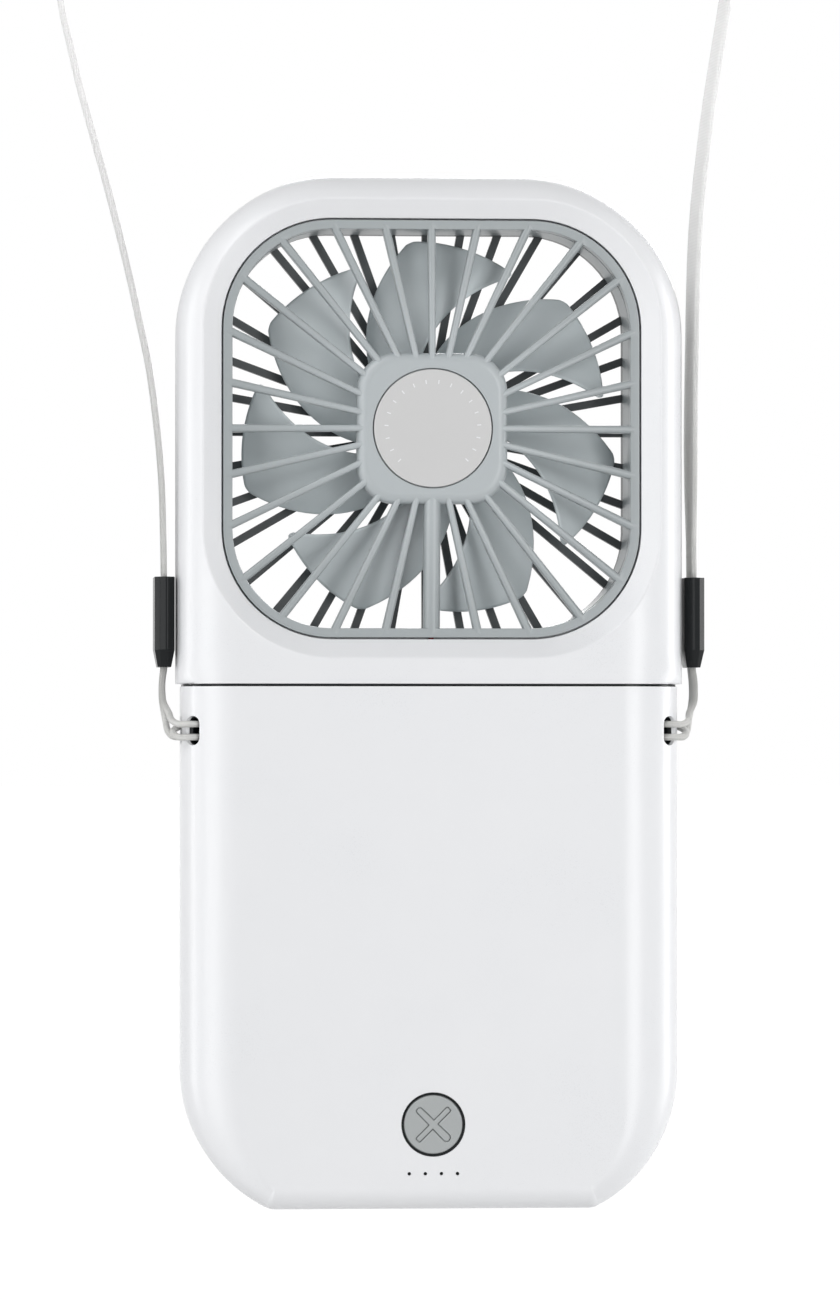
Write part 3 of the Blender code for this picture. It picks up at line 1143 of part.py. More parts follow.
def motor_leads(base, head):
    """The motor's lead, in the base and in the head; it is cut at the seam, where the real one bends."""
    lane = BATTERY_BACK + FIT_GAP + LEAD_RADIUS
    board = BOARD_BACK + CORD_GAP + LEAD_RADIUS
    low = [(LEAD_X - 2, board, BOARD_TOP - 6), (LEAD_X - 2, board, BOARD_TOP - 4.5),
           (LEAD_X - 1, board + 1.8, BOARD_TOP - 2.6), (LEAD_X, lane - 0.5, BOARD_TOP - 0.6),
           (LEAD_X, lane, BOARD_TOP + 2.5), (LEAD_X, lane, BOARD_TOP + 14), (LEAD_X, lane, BATTERY_HIGH - 16.6),
           (LEAD_X, lane, BATTERY_HIGH - 3.6), (LEAD_X, LEAD_SEAM_Y, BATTERY_HIGH + 2.9),
           (LEAD_X, LEAD_SEAM_Y, BATTERY_HIGH + 5.4), (LEAD_X, LEAD_SEAM_Y, BASE_HEIGHT - CORD_GAP)]
    route, length = smooth_route(low, 2.4)
    tube("motor_lead_base", route, LEAD_RADIUS, "lead_red", base, 0)
    board_edge = FAN_HEIGHT - MOTOR_BOARD_RADIUS
    duct_low = FAN_HEIGHT - OPENING_HALF - DUCT_WALL
    high = [(LEAD_X, LEAD_SEAM_Y, HEAD_BOTTOM + CORD_GAP), (LEAD_X, LEAD_SEAM_Y, HEAD_BOTTOM + 1.6),
            (LEAD_X - 0.6, 1.0, HEAD_BOTTOM + 2.6), (1.6, LEAD_Y + 2.2, duct_low - 2.0),
            (0.1, LEAD_Y + 0.2, duct_low - 0.8), (0, LEAD_Y, duct_low + 0.6), (0, LEAD_Y, duct_low + 6),
            (0, LEAD_Y, duct_low + 12), (0, LEAD_Y, duct_low + 18), (0, LEAD_Y, board_edge - 0.3)]
    route, length = smooth_route(high, 1.6)
    tube("motor_lead_head", route, LEAD_RADIUS, "lead_red", head, 0)


def loop_route(side):
    """The cord round a post: down from the clip, in at the front and out at the side, twice, and up again."""
    ring = LOOP_POST_RADIUS + (LOOP_TUNNEL_RADIUS - LOOP_POST_RADIUS) / 2
    upper = LOOP_HEIGHT + LOOP_PITCH / 2
    start = CLIP_BOTTOM + CORD_IN_CLIP

    def on_ring(turn, z, radius=ring):
        return (LOOP_POST_X + radius * math.cos(math.radians(turn)),
                LOOP_POST_Y + radius * math.sin(math.radians(turn)), z)

    points = [(CLIP_X, -CORD_PAIR_OFFSET, start), (CLIP_X, -CORD_PAIR_OFFSET, CLIP_BOTTOM),
              (CLIP_X + 0.25, -1.25, CLIP_BOTTOM - 1.8), (CLIP_X + 0.3, -1.5, CLIP_BOTTOM - 3.6),
              (CLIP_X + 0.1, -2.1, CLIP_BOTTOM - 5.3)]
    points.append(on_ring(20, LOOP_HEIGHT + 2.6, ring + 0.75))
    points.append(on_ring(-15, LOOP_HEIGHT + 1.6, ring + 0.35))
    for turn in range(-45, -286, -30):
        points.append(on_ring(turn, upper))
    for step in range(1, 5):
        points.append(on_ring(-285 - 30 * step, upper - LOOP_PITCH * step / 4))
    for turn in range(-435, -646, -30):
        points.append(on_ring(turn, upper - LOOP_PITCH))
    points += [(LOOP_POST_X + 2.35, LOOP_POST_Y + 3.0, upper - LOOP_PITCH + 0.1),
               (LOOP_POST_X + 3.15, LOOP_POST_Y + 4.2, upper - LOOP_PITCH + 0.9),
               (LOOP_POST_X + 3.5, LOOP_POST_Y + 4.9, LOOP_HEIGHT + 1.6),
               (CLIP_X + 0.2, 1.15, CLIP_BOTTOM - 4.8), (CLIP_X + 0.2, 1.2, CLIP_BOTTOM - 2.2),
               (CLIP_X, CORD_PAIR_OFFSET, CLIP_BOTTOM), (CLIP_X, CORD_PAIR_OFFSET, start)]
    return [(side * x, y, z) for x, y, z in points]


def least_gap(route, radius):
    """The clear space between a cord and itself, past the bends that it makes on the way."""
    travelled = np.concatenate(([0], np.cumsum(np.linalg.norm(np.diff(route, axis=0), axis=1))))
    apart = np.linalg.norm(route[:, None] - route[None], axis=2)
    far = np.abs(travelled[:, None] - travelled[None]) > 8 * radius
    return apart[far].min() - 2 * radius


def strap_loops(pivot):
    for word, side in (("left", -1), ("right", 1)):
        fine, length = smooth_route(loop_route(side), 0.2)
        gap = least_gap(fine, CORD_RADIUS)
        print("strap_loop_%s: %.1f mm long, least gap to itself %.2f mm" % (word, length, gap))
        route, length = smooth_route(loop_route(side), 1.25)
        tube("strap_loop_" + word, route, CORD_RADIUS, "cord_pale", pivot)


def strap_clips(pivot):
    """Crimped clips with chamfered corners and a tapered lower end; the strap and cords go into sockets."""
    for word, side in (("left", -1), ("right", 1)):
        rings = []
        sections = ((CLIP_BOTTOM, CLIP_TAPER, CLIP_DEPTH_TAPER), (CLIP_BOTTOM + CLIP_TAPER_HEIGHT, 1, 1),
                    (CLIP_TOP, 1, 1))
        for z, share_x, share_y in sections:
            half_x, half_y = CLIP_THICKNESS / 2 * share_x, CLIP_DEPTH / 2 * share_y
            bite = CLIP_CHAMFER * share_x
            front = [(half_x, half_y - bite), (half_x - bite, half_y), (bite - half_x, half_y), (-half_x, half_y - bite)]
            ring = front + [(x, -y) for x, y in reversed(front)]
            rings.append([(side * (CLIP_X + x), y, z) for x, y in ring])
        clip = loft("strap_clip_" + word, rings)
        slot_x, slot_y = STRAP_THICKNESS / 2 + FIT_GAP, STRAP_WIDTH / 2 + FIT_GAP
        left, right = sorted((side * (CLIP_X - slot_x), side * (CLIP_X + slot_x)))
        low, high = CLIP_TOP - CLIP_SOCKET, CLIP_TOP + CUT_PAST
        cut(clip, box("strap_socket", (left, -slot_y, low), (right, slot_y, high)))
        cut(clip, joined("cord_sockets", [column("cord_socket", CLIP_BOTTOM - CUT_PAST, CLIP_BOTTOM + CLIP_SOCKET,
                                                 CORD_RADIUS + CORD_GAP, "Z", side * CLIP_X, y)
                                          for y in (-CORD_PAIR_OFFSET, CORD_PAIR_OFFSET)]))
        finish(clip, "clip_black", pivot, smooth_angle=20)


def ease(value):
    value = min(1.0, max(0.0, value))
    return value * value * (3 - 2 * value)


def neck_strap(pivot):
    """The flat band from clip to clip, with a slight twist in its right half."""
    stretch = CLIP_X / STRAP_ROUTE[-1][0]
    route, length = smooth_route([(x * stretch, 0.0, CLIP_TOP + z) for x, z in STRAP_ROUTE], 6.0)
    print("neck_strap: %.0f mm long" % length)
    rings = []
    for i, here in enumerate(route):
        ahead = route[min(i + 1, len(route) - 1)] - route[max(i - 1, 0)]
        tangent = Vector(ahead).normalized()
        turn = math.radians(STRAP_TWIST) * ease((here[2] - CLIP_TOP - 3) / 15) * ease(here[0] / 30)
        turn *= ease((STRAP_TOP - here[2]) / 30)
        wide = Vector((0, 1, 0))
        thick = tangent.cross(wide)
        wide, thick = (wide * math.cos(turn) + thick * math.sin(turn), thick * math.cos(turn) - wide * math.sin(turn))
        a, b = wide * STRAP_WIDTH / 2, thick * STRAP_THICKNESS / 2
        middle = Vector(here)
        rings.append([middle + a + b, middle + a - b, middle - a - b, middle - a + b])
    finish(loft("neck_strap", rings), "strap_grey", pivot)


def build():
    clear_scene()
    neck = empty("neck_rest", (0, 0, STRAP_TOP))
    base = empty("base_frame", (0, 0, 0), neck)
    head = empty("head_hinge", (0, HINGE_Y, HINGE_Z), base)
    spin = empty("impeller_axis", (0, 0, FAN_HEIGHT), head)
    press = empty("button_axis", (0, -HALF_DEPTH, BUTTON_HEIGHT), base)
    base_front_shell(base)
    base_rear_shell(base)
    head_front_shell(head)
    head_rear_shell(head)
    hinge_pins(base)
    front_grille(head)
    hub_cap(head)
    rear_grille(head)
    impeller(spin)
    rotor_parts(spin)
    stator_parts(head)
    electronics(base)
    sockets(base)
    power_button(press)
    screws(base, head)
    motor_leads(base, head)
    neck_strap(base)
    strap_clips(base)
    strap_loops(base)


build()
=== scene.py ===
# Looks of the folding neck fan: finer shells, grilles, blades, keys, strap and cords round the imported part.
import json
import math

import bmesh
import bpy
from mathutils import Matrix, Vector
from mathutils.kdtree import KDTree

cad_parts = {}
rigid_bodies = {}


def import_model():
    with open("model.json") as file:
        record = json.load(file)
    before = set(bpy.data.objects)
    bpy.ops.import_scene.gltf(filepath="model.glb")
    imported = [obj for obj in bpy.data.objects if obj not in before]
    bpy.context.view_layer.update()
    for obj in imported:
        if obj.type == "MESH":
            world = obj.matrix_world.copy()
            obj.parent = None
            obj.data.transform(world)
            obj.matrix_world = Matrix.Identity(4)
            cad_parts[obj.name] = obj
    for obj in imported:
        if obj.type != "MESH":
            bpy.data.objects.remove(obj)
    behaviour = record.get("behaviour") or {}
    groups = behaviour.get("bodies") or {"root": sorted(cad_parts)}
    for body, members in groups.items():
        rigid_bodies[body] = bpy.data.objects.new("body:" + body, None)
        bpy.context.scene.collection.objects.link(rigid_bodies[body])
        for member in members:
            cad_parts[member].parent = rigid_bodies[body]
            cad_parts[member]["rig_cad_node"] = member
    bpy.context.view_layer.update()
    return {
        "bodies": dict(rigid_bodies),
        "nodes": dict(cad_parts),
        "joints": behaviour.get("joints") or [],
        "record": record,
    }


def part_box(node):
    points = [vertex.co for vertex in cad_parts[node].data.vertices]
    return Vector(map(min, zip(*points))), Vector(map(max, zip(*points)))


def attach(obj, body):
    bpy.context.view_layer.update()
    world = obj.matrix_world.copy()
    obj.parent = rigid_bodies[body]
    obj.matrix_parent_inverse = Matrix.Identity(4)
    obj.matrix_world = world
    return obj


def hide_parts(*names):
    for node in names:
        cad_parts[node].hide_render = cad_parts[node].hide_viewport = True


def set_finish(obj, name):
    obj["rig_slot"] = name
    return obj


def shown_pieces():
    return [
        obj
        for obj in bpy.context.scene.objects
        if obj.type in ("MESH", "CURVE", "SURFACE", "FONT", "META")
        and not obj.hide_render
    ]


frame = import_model()
mm = 0.001
creaseAngle = math.radians(22)
footLow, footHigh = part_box("base_front_shell")
foot = footLow.z                                   # heights are in millimetres above the foot


def at(x, y, z):
    return Vector((x * mm, y * mm, z * mm + foot))


def ease(value):
    value = min(1.0, max(0.0, value))
    return value * value * (3 - 2 * value)


# Operators in object and edit mode

def deselect():
    if bpy.context.object and bpy.context.object.mode != "OBJECT":
        bpy.ops.object.mode_set(mode="OBJECT")
    bpy.ops.object.select_all(action="DESELECT")


def activate(piece):
    deselect()
    piece.select_set(True)
    bpy.context.view_layer.objects.active = piece


def newest(name):
    piece = bpy.context.object
    piece.name = name
    piece.data.name = name
    bpy.ops.object.transform_apply(location=True, rotation=True, scale=True)
    return piece


def loft(name, rings, closed=False):
    # a circle with one corner for each point, extruded from ring to ring
    deselect()
    fill = "NOTHING" if closed else "NGON"
    bpy.ops.mesh.primitive_circle_add(vertices=len(rings[0]), radius=mm, fill_type=fill)
    piece = newest(name)
    bpy.ops.object.mode_set(mode="EDIT")
    bpy.ops.mesh.select_mode(type="VERT")
    bpy.ops.mesh.select_all(action="SELECT")
    shape = bmesh.from_edit_mesh(piece.data)
    order = shape.verts.layers.int.new("order")
    for number, corner in enumerate(shape.verts):
        corner[order] = number
    for number, ring in enumerate(rings + rings[:1] if closed else rings):
        if number:
            bpy.ops.mesh.extrude_region_move()
        shape = bmesh.from_edit_mesh(piece.data)
        order = shape.verts.layers.int["order"]
        for corner in shape.verts:
            if corner.select:
                corner.co = at(*ring[corner[order]])
        bmesh.update_edit_mesh(piece.data)
    bpy.ops.mesh.select_all(action="SELECT")
    bpy.ops.mesh.remove_doubles(threshold=0.001 * mm)
    bpy.ops.mesh.normals_make_consistent(inside=False)
    bpy.ops.object.mode_set(mode="OBJECT")
    piece.data.attributes.remove(piece.data.attributes["order"])
    return piece


def modify(piece, kind, **settings):
    activate(piece)
    made = piece.modifiers.new(kind.lower(), kind)
    for name, value in settings.items():
        setattr(made, name, value)
    bpy.ops.object.modifier_apply(modifier=made.name)
    return piece


def cut(piece, *tools, operation="DIFFERENCE"):
    for tool in tools:
        modify(piece, "BOOLEAN", operation=operation, solver="EXACT", object=tool)
        bpy.data.objects.remove(tool)
    return piece


def weld(piece, *tools):
    return cut(piece, *tools, operation="UNION")


def gather(name, pieces):
    # several meshes as one object
    deselect()
    for piece in pieces:
        piece.select_set(True)
    bpy.context.view_layer.objects.active = pieces[0]
    bpy.ops.object.join()
    pieces[0].name = name
    return pieces[0]


def copyOf(piece, name, matrix):
    made = piece.copy()
    made.data = piece.data.copy()
    made.data.transform(matrix)
    made.name = name
    bpy.context.scene.collection.objects.link(made)
    return made


def soften(piece, rule, width, segments=3):
    # rounds the creases with both ends where the rule picks
    activate(piece)
    bpy.ops.object.mode_set(mode="EDIT")
    bpy.ops.mesh.select_mode(type="EDGE")
    bpy.ops.mesh.select_all(action="DESELECT")
    for crease in bmesh.from_edit_mesh(piece.data).edges:
        if len(crease.link_faces) == 2 and crease.calc_face_angle(0) > creaseAngle:
            ends = [(end.co.x / mm, end.co.y / mm, (end.co.z - foot) / mm) for end in crease.verts]
            if all(rule(*end) for end in ends):
                crease.select_set(True)
    bmesh.update_edit_mesh(piece.data)
    bpy.ops.mesh.bevel(offset=width * mm, segments=segments, affect="EDGES", clamp_overlap=True)
    bpy.ops.object.mode_set(mode="OBJECT")
    return piece


def smooth(piece, angle=30):
    activate(piece)
    bpy.ops.object.shade_smooth_by_angle(angle=math.radians(angle))
    return modify(piece, "WEIGHTED_NORMAL", keep_sharp=True)


def onAxis(axis, along, a, b, x, y, z):
    # a place that far along one axis and aside on the other two
    return {"X": (x + along, y + a, z + b), "Y": (x + a, y + along, z + b),
            "Z": (x + a, y + b, z + along)}[axis]


def evenTurns(count):
    return [2 * math.pi * k / count for k in range(count)]


def quarterRound(steps):
    # (how far in, how far short of the top) a round edge is, from its foot to its top
    turns = [math.radians(90 * step / steps) for step in range(steps + 1)]
    return [(1 - math.cos(turn), 1 - math.sin(turn)) for turn in turns]


def rod(name, radius, start, end, axis="Y", x=0.0, y=0.0, z=0.0, sides=48):
    # a round cutter or pin from start to end along its axis
    deselect()
    turn = {"X": (0, math.pi / 2, 0), "Y": (math.pi / 2, 0, 0), "Z": (0, 0, 0)}[axis]
    middle = at(*onAxis(axis, (start + end) / 2, 0, 0, x, y, z))
    bpy.ops.mesh.primitive_cylinder_add(vertices=sides, radius=radius * mm, depth=abs(end - start) * mm,
                                        location=middle, rotation=turn)
    return newest(name)


def block(name, low, high):
    deselect()
    middle = at(*[(a + b) / 2 for a, b in zip(low, high)])
    bpy.ops.mesh.primitive_cube_add(size=mm, location=middle, scale=[b - a for a, b in zip(low, high)])
    return newest(name)


def turned(name, profile, axis="Y", x=0.0, y=0.0, z=0.0, sides=64, closed=False):
    # a lathe shape: profile lists (place along the axis, radius)
    rings = [[onAxis(axis, along, radius * math.cos(turn), radius * math.sin(turn), x, y, z)
              for turn in evenTurns(sides)] for along, radius in profile]
    return loft(name, rings, closed)


def roundedBox(halfX, halfZ, radius, x=0.0, z=0.0, steps=8):
    outline = []
    for quarter, (across, up) in enumerate(((1, 1), (-1, 1), (-1, -1), (1, -1))):
        for step in range(steps + 1):
            turn = math.radians(90 * quarter + 90 * step / steps)
            outline.append((x + across * (halfX - radius) + radius * math.cos(turn),
                            z + up * (halfZ - radius) + radius * math.sin(turn)))
    return outline


def atDepth(outline, y):
    return [(x, y, z) for x, z in outline]


# The case: both halves of the base and of the head

case = {
    "depth": 19.0, "partingGap": 0.2, "wall": 1.8, "sideRoundWidth": 9.0, "sideRoundDepth": 7.0,
    "footRound": 3.0, "roundSteps": 14, "hollowSteps": 6, "partingChamfer": 0.12, "seamSoftness": 0.22,
    "edgeSoftness": 0.12,
}
base = {
    "width": 74.6, "height": 77.9, "cornerRadius": 22.6, "cornerHeight": 20.5, "blendRadius": 4.0,
    "cornerSteps": 28, "blendSteps": 10,
}
head = {
    "width": 76.0, "height": 76.2, "bottom": 78.3, "cornerRadius": 24.0, "points": 192, "lipInset": 3.7,
    "openingHalf": 31.45, "openingCorner": 16.5, "bevelWidth": 2.85, "lipSoftness": 0.22,
    "grilleSetback": 2.6, "frameDepth": 2.3, "fitGap": 0.25, "ledgeWidth": 1.45, "ductWall": 1.4,
    "hollowDepth": 5.4,
}
# the black seam strip in the gap under the head is painted shade
seamShadeStrip = {"setback": 0.25, "width": 1.1, "back": 4.4, "below": 0.5, "rise": 0.33, "steps": 12}
halfDepth = case["depth"] / 2
fanHeight = head["bottom"] + head["height"] / 2
grilleFace = halfDepth - head["grilleSetback"]


def edgeInset(depth, width, reach):
    # how far a soft edge of that width and reach draws in at a depth from the mid plane
    run = (depth - (halfDepth - reach)) / reach
    return 0.0 if run <= 0 else width * (1 - math.sqrt(max(0.0, 1 - run * run)))


def baseEdge(top):
    # (x, z, normal x, normal z, edge width, edge reach) from the right top round the foot to the left top
    radius, blend = base["cornerRadius"], base["blendRadius"]
    centreX = base["width"] / 2 - radius
    drop = base["cornerHeight"] - blend
    reach = math.sqrt((radius - blend) ** 2 - drop ** 2)
    meet = math.degrees(math.atan2(drop, reach))
    half = [(base["width"] / 2, top, 0.0)]
    for step in range(base["cornerSteps"] + 1):
        turn = math.radians(meet * step / base["cornerSteps"])
        half.append((centreX + radius * math.cos(turn), base["cornerHeight"] - radius * math.sin(turn), turn))
    for step in range(1, base["blendSteps"] + 1):
        turn = math.radians(meet + (90 - meet) * step / base["blendSteps"])
        half.append((centreX + reach + blend * math.cos(turn), blend * (1 - math.sin(turn)), turn))
    edge = []
    for x, z, turn in half:
        side = math.cos(turn) ** 3
        edge.append((x, z, math.cos(turn), -math.sin(turn),
                     case["footRound"] + (case["sideRoundWidth"] - case["footRound"]) * side,
                     case["footRound"] + (case["sideRoundDepth"] - case["footRound"]) * side))
    return edge + [(-x, z, -nx, nz, width, depth) for x, z, nx, nz, width, depth in reversed(edge)]


def roundLevels(steps):
    # depths from the start of the soft edge to the face
    reach = case["sideRoundDepth"]
    return [halfDepth - reach + reach * math.sin(math.radians(90 * k / steps)) for k in range(steps + 1)]


def baseRing(edge, y, inset, depth=0.0):
    ring = []
    for x, z, nx, nz, width, reach in edge:
        draw = inset + edgeInset(depth, width, reach)
        ring.append((x - nx * draw, y, z - nz * draw))
    return ring


def baseHalf(name, side):
    edge, gap, chamfer = baseEdge(base["height"]), case["partingGap"] / 2, case["partingChamfer"]
    rings = [baseRing(edge, side * gap, chamfer), baseRing(edge, side * (gap + chamfer), 0.0)]
    rings += [baseRing(edge, side * depth, 0.0, depth) for depth in roundLevels(case["roundSteps"])]
    wall = case["wall"]
    inner = baseEdge(base["height"] - wall)
    hollow = [baseRing(inner, side * -0.5, wall)]
    hollow += [baseRing(inner, side * (depth - wall), wall, depth)
               for depth in roundLevels(case["hollowSteps"])]
    return loft(name, rings), loft(name + "_hollow", hollow)


def squareReach(turn, half, radius):
    # distance from the fan's middle to a rounded square, in a direction turned from straight up
    across, up = abs(math.sin(turn)), abs(math.cos(turn))
    flat = half / max(across, up)
    if min(across, up) * flat <= half - radius:
        return flat
    corner = half - radius
    along = corner * (across + up)
    return along + math.sqrt(max(0.0, along ** 2 - 2 * corner ** 2 + radius ** 2))


def squarePoint(turn, half, radius):
    reach = squareReach(turn, half, radius)
    return reach * math.sin(turn), fanHeight + reach * math.cos(turn)


def squareRing(turns, half, radius, y):
    return atDepth([squarePoint(turn, half, radius) for turn in turns], y)


def headPoint(turn, inset=0.0):
    # the head's outline, with round corners at the top and square ones at the seam
    radius = head["cornerRadius"] - inset if math.cos(turn) > 0.001 else 0.01
    reach = squareReach(turn, head["width"] / 2 - inset, radius)
    return reach * math.sin(turn), fanHeight + reach * math.cos(turn) * head["height"] / head["width"]


def faceDepth(x, z):
    # how far the head's outer surface lies from the mid plane
    cornerX = abs(x) - (head["width"] / 2 - head["cornerRadius"])
    cornerZ = z - (head["bottom"] + head["height"] - head["cornerRadius"])
    if cornerX > 0 and cornerZ > 0:
        inset = head["cornerRadius"] - math.hypot(cornerX, cornerZ)
    else:
        inset = min(head["width"] / 2 - abs(x), head["bottom"] + head["height"] - z)
    run = max(0.0, 1 - max(0.0, inset) / case["sideRoundWidth"])
    return halfDepth - case["sideRoundDepth"] + case["sideRoundDepth"] * math.sqrt(1 - run * run)


def headHalf(name, side):
    # rings run from the parting plane over the soft edge and the lip into the opening, and back inside
    turns = evenTurns(head["points"])
    gap, chamfer, wall = case["partingGap"] / 2, case["partingChamfer"], case["wall"]
    outer = [headPoint(turn) for turn in turns]
    half, corner, bevel = head["openingHalf"], head["openingCorner"], head["bevelWidth"]
    lip = [squarePoint(turn, half + bevel, corner + bevel) for turn in turns]
    rings = [atDepth([headPoint(turn, chamfer) for turn in turns], side * gap),
             atDepth(outer, side * (gap + chamfer))]
    for share in (0.5, 1.0):
        rings.append([(x, side * (gap + chamfer + (faceDepth(x, z) - gap - chamfer) * share), z)
                      for x, z in outer])
    lipAngle = math.acos(1 - head["lipInset"] / case["sideRoundWidth"])
    for step in range(1, case["roundSteps"] + 1):
        share = (1 - math.cos(lipAngle * step / case["roundSteps"])) / (1 - math.cos(lipAngle))
        ring = [(x + (lipX - x) * share, z + (lipZ - z) * share) for (x, z), (lipX, lipZ) in zip(outer, lip)]
        rings.append([(x, side * faceDepth(x, z), z) for x, z in ring])
    deep, ledge = head["hollowDepth"], grilleFace - head["frameDepth"] - head["fitGap"]
    duct, ductCorner = half - head["ledgeWidth"], corner - head["ledgeWidth"]
    ductOut, outCorner = half + head["ductWall"], corner + head["ductWall"]
    rings += [squareRing(turns, inner, radius, side * depth) for inner, radius, depth in (
        (half, corner, grilleFace), (half, corner, ledge), (duct, ductCorner, ledge), (duct, ductCorner, gap),
        (ductOut, outCorner, gap), (ductOut, outCorner, deep))]
    deepInset = wall + edgeInset(deep + wall, case["sideRoundWidth"], case["sideRoundDepth"])
    rings += [atDepth([headPoint(turn, deepInset) for turn in turns], side * deep),
              atDepth([headPoint(turn, wall) for turn in turns], side * gap)]
    shell = loft(name, rings, closed=True)

    def off(x, z, half, corner):
        # distance from a rounded square about the fan
        return abs(math.hypot(x, z - fanHeight) - squareReach(math.atan2(x, z - fanHeight), half, corner))

    soften(shell, lambda x, y, z: off(x, z, half + bevel, corner + bevel) < 0.05 and side * y > 7,
           head["lipSoftness"], 4)
    soften(shell, lambda x, y, z: off(x, z, half, corner) < 0.02 and side * y > 6.8, case["edgeSoftness"], 2)
    return softSeam(shell, head["bottom"], side)


def softSeam(shell, height, side):
    return soften(shell, lambda x, y, z: abs(z - height) < 0.005 and side * y > 0.3, case["seamSoftness"])


# Screws, hinge and sockets that the shells make room for

screws = {
    "base": ((31.2, 63.0), (27.0, 15.5)), "head": ((32.8, 83.5), (28.85, 145.35)),
    "headRadius": 1.6, "gap": 0.25, "bore": 4.6, "seat": 4.75, "rise": 1.2, "shaft": 0.74, "tip": -4.6,
    "domeWidth": 0.75, "domeRise": 0.65, "crossLength": 1.9, "crossWidth": 0.42, "crossDepth": 0.75,
}
hinge = {
    "behindFace": 0.4, "knuckleRadius": 2.8, "clearance": 0.35, "headHalf": 17.5, "baseLength": 12.0,
    "washer": 0.4, "washerGap": 0.2, "washerRadius": 2.45, "pinRadius": 1.0, "pinGap": 0.2, "pinHalf": 30.05,
    "stockHalf": 32.0, "stockFront": 4.6, "stockLow": 72.5, "stockHigh": 83.0,
}
hingeY = halfDepth + hinge["behindFace"]
hingeZ = (base["height"] + head["bottom"]) / 2
usb = {
    "A": {"x": -9.5, "size": (13.1, 5.7, 14.0), "corner": 0.5, "tongue": (11.2, 1.8, 1.0),
          "contacts": (4, 1.1)},
    "C": {"x": 9.5, "size": (8.94, 3.2, 7.4), "corner": 1.5, "tongue": (6.7, 0.7, 0.0),
          "contacts": (8, 0.34)},
    "boardBack": -2.0, "gap": 0.25, "seat": 0.15, "fromFoot": 0.3, "metal": 0.35, "floor": 1.2,
    "setback": 0.9,
}


def counterbores(places):
    wide = screws["headRadius"] + screws["gap"]
    return gather("bores", [rod("bore", wide, screws["bore"], halfDepth + 1, x=side * x, z=z, sides=40)
                            for x, z in places for side in (-1, 1)])


def barrel(start, end, radius):
    return rod("barrel", radius, start, end, "X", y=hingeY, z=hingeZ, sides=72)


def pinHole(far):
    return barrel(-far - 1, far + 1, hinge["pinRadius"] + hinge["pinGap"])


def usbWindows():
    tools, gap = [], usb["gap"]
    for port in (usb["A"], usb["C"]):
        width, height, depth = port["size"]
        middle = usb["boardBack"] + gap + height / 2
        outline = roundedBox(width / 2 + gap, height / 2 + gap, port["corner"], port["x"], middle)
        tools.append(loft("window", [[(a, b, z) for a, b in outline] for z in (-1.0, case["wall"] + 2.0)]))
    return gather("windows", tools)


# the black lining of the tunnels (the sleeve sizes below) is painted shade
loop = {
    "postX": 36.0, "postY": -3.9, "postRadius": 1.4, "tunnelRadius": 3.7, "tunnelHeight": 4.4, "height": 71.3,
    "bossRadius": 5.3, "pitch": 1.94, "cordRadius": 0.5, "pairOffset": 1.2, "shadeLiningGap": 0.03,
    "sleeve": 0.12, "shadeLiningSetback": 0.3,
}


def loopTunnel(side, inset=0.0):
    # an upright long-hole section, spun round the post
    middle = (loop["postRadius"] + loop["tunnelRadius"]) / 2
    wide = (loop["tunnelRadius"] - loop["postRadius"]) / 2
    tall = loop["tunnelHeight"] / 2 - wide
    wide -= inset
    profile = []
    for k in range(24):
        turn = 2 * math.pi * (k + 0.5) / 24
        lift = tall if math.sin(turn) > 0 else -tall
        profile.append((loop["height"] + lift + wide * math.sin(turn), middle + wide * math.cos(turn)))
    return turned("tunnel", profile, "Z", side * loop["postX"], loop["postY"], 0.0, 56, closed=True)


def makeTunnelShadeLining(word, side):
    # a black lining of the tunnel, painted shade in its hollow, that ends just under the case's surface
    gap, setback = loop["shadeLiningGap"], loop["shadeLiningSetback"]
    made = cut(loopTunnel(side, gap), loopTunnel(side, gap + loop["sleeve"]))
    edge = baseEdge(base["height"])
    share = (halfDepth - setback) / halfDepth
    rings = [baseRing(edge, -0.05, setback)]
    rings += [baseRing(edge, -depth * share, setback, depth) for depth in roundLevels(case["roundSteps"])]
    cut(made, loft("inside", rings), operation="INTERSECT")
    made.name = "tunnelShadeLining" + word
    return smooth(made, 40)


# the black ring in the gap round the key is painted shade
button = {
    "height": 12.7, "radius": 4.38, "gap": 0.39, "setback": 0.1, "edge": 0.25, "armLength": 6.5,
    "armWidth": 0.66, "armCorner": 0.1, "headWidth": 0.8, "footWidth": 1.0, "depth": 0.45, "trench": 0.17,
    "armDrop": 0.06, "flange": 1.0, "flangeGap": 0.25, "flangeDepth": 0.6, "stemRadius": 1.5,
    "stemReach": 2.1, "shadeRingGap": 0.06, "shadeRingDepth": 0.2, "shadeRingGrip": 0.02, "shadeRingBack": 0.4,
}
lights = {"height": 5.4, "count": 4, "pitch": 2.4, "radius": 0.27}


def lightPlaces():
    return [lights["pitch"] * (k - (lights["count"] - 1) / 2) for k in range(lights["count"])]


def faceHole(radius, x, z, sides):
    front = -halfDepth
    return rod("hole", radius, front - 1, front + case["wall"] + 1, x=x, z=z, sides=sides)


def makeBaseFront():
    shell, hollow = baseHalf("baseFrontShell", -1)
    reach = loop["tunnelHeight"] / 2 + case["wall"]
    bosses = [rod("boss", loop["bossRadius"], loop["height"] - reach, loop["height"] + reach, "Z",
                  side * loop["postX"], loop["postY"]) for side in (-1, 1)]
    cut(hollow, gather("bosses", bosses))
    cut(shell, hollow, gather("tunnels", [loopTunnel(-1), loopTunnel(1)]), usbWindows())
    hole = button["radius"] + button["gap"]
    holes = [faceHole(hole, 0.0, button["height"], 96)]
    holes += [faceHole(lights["radius"], x, lights["height"], 24) for x in lightPlaces()]
    cut(shell, gather("holes", holes))
    soften(shell, lambda x, y, z: abs(math.hypot(x, z - button["height"]) - hole) < 0.02 and y < -9.45,
           case["edgeSoftness"], 2)
    return smooth(softSeam(shell, base["height"], -1))


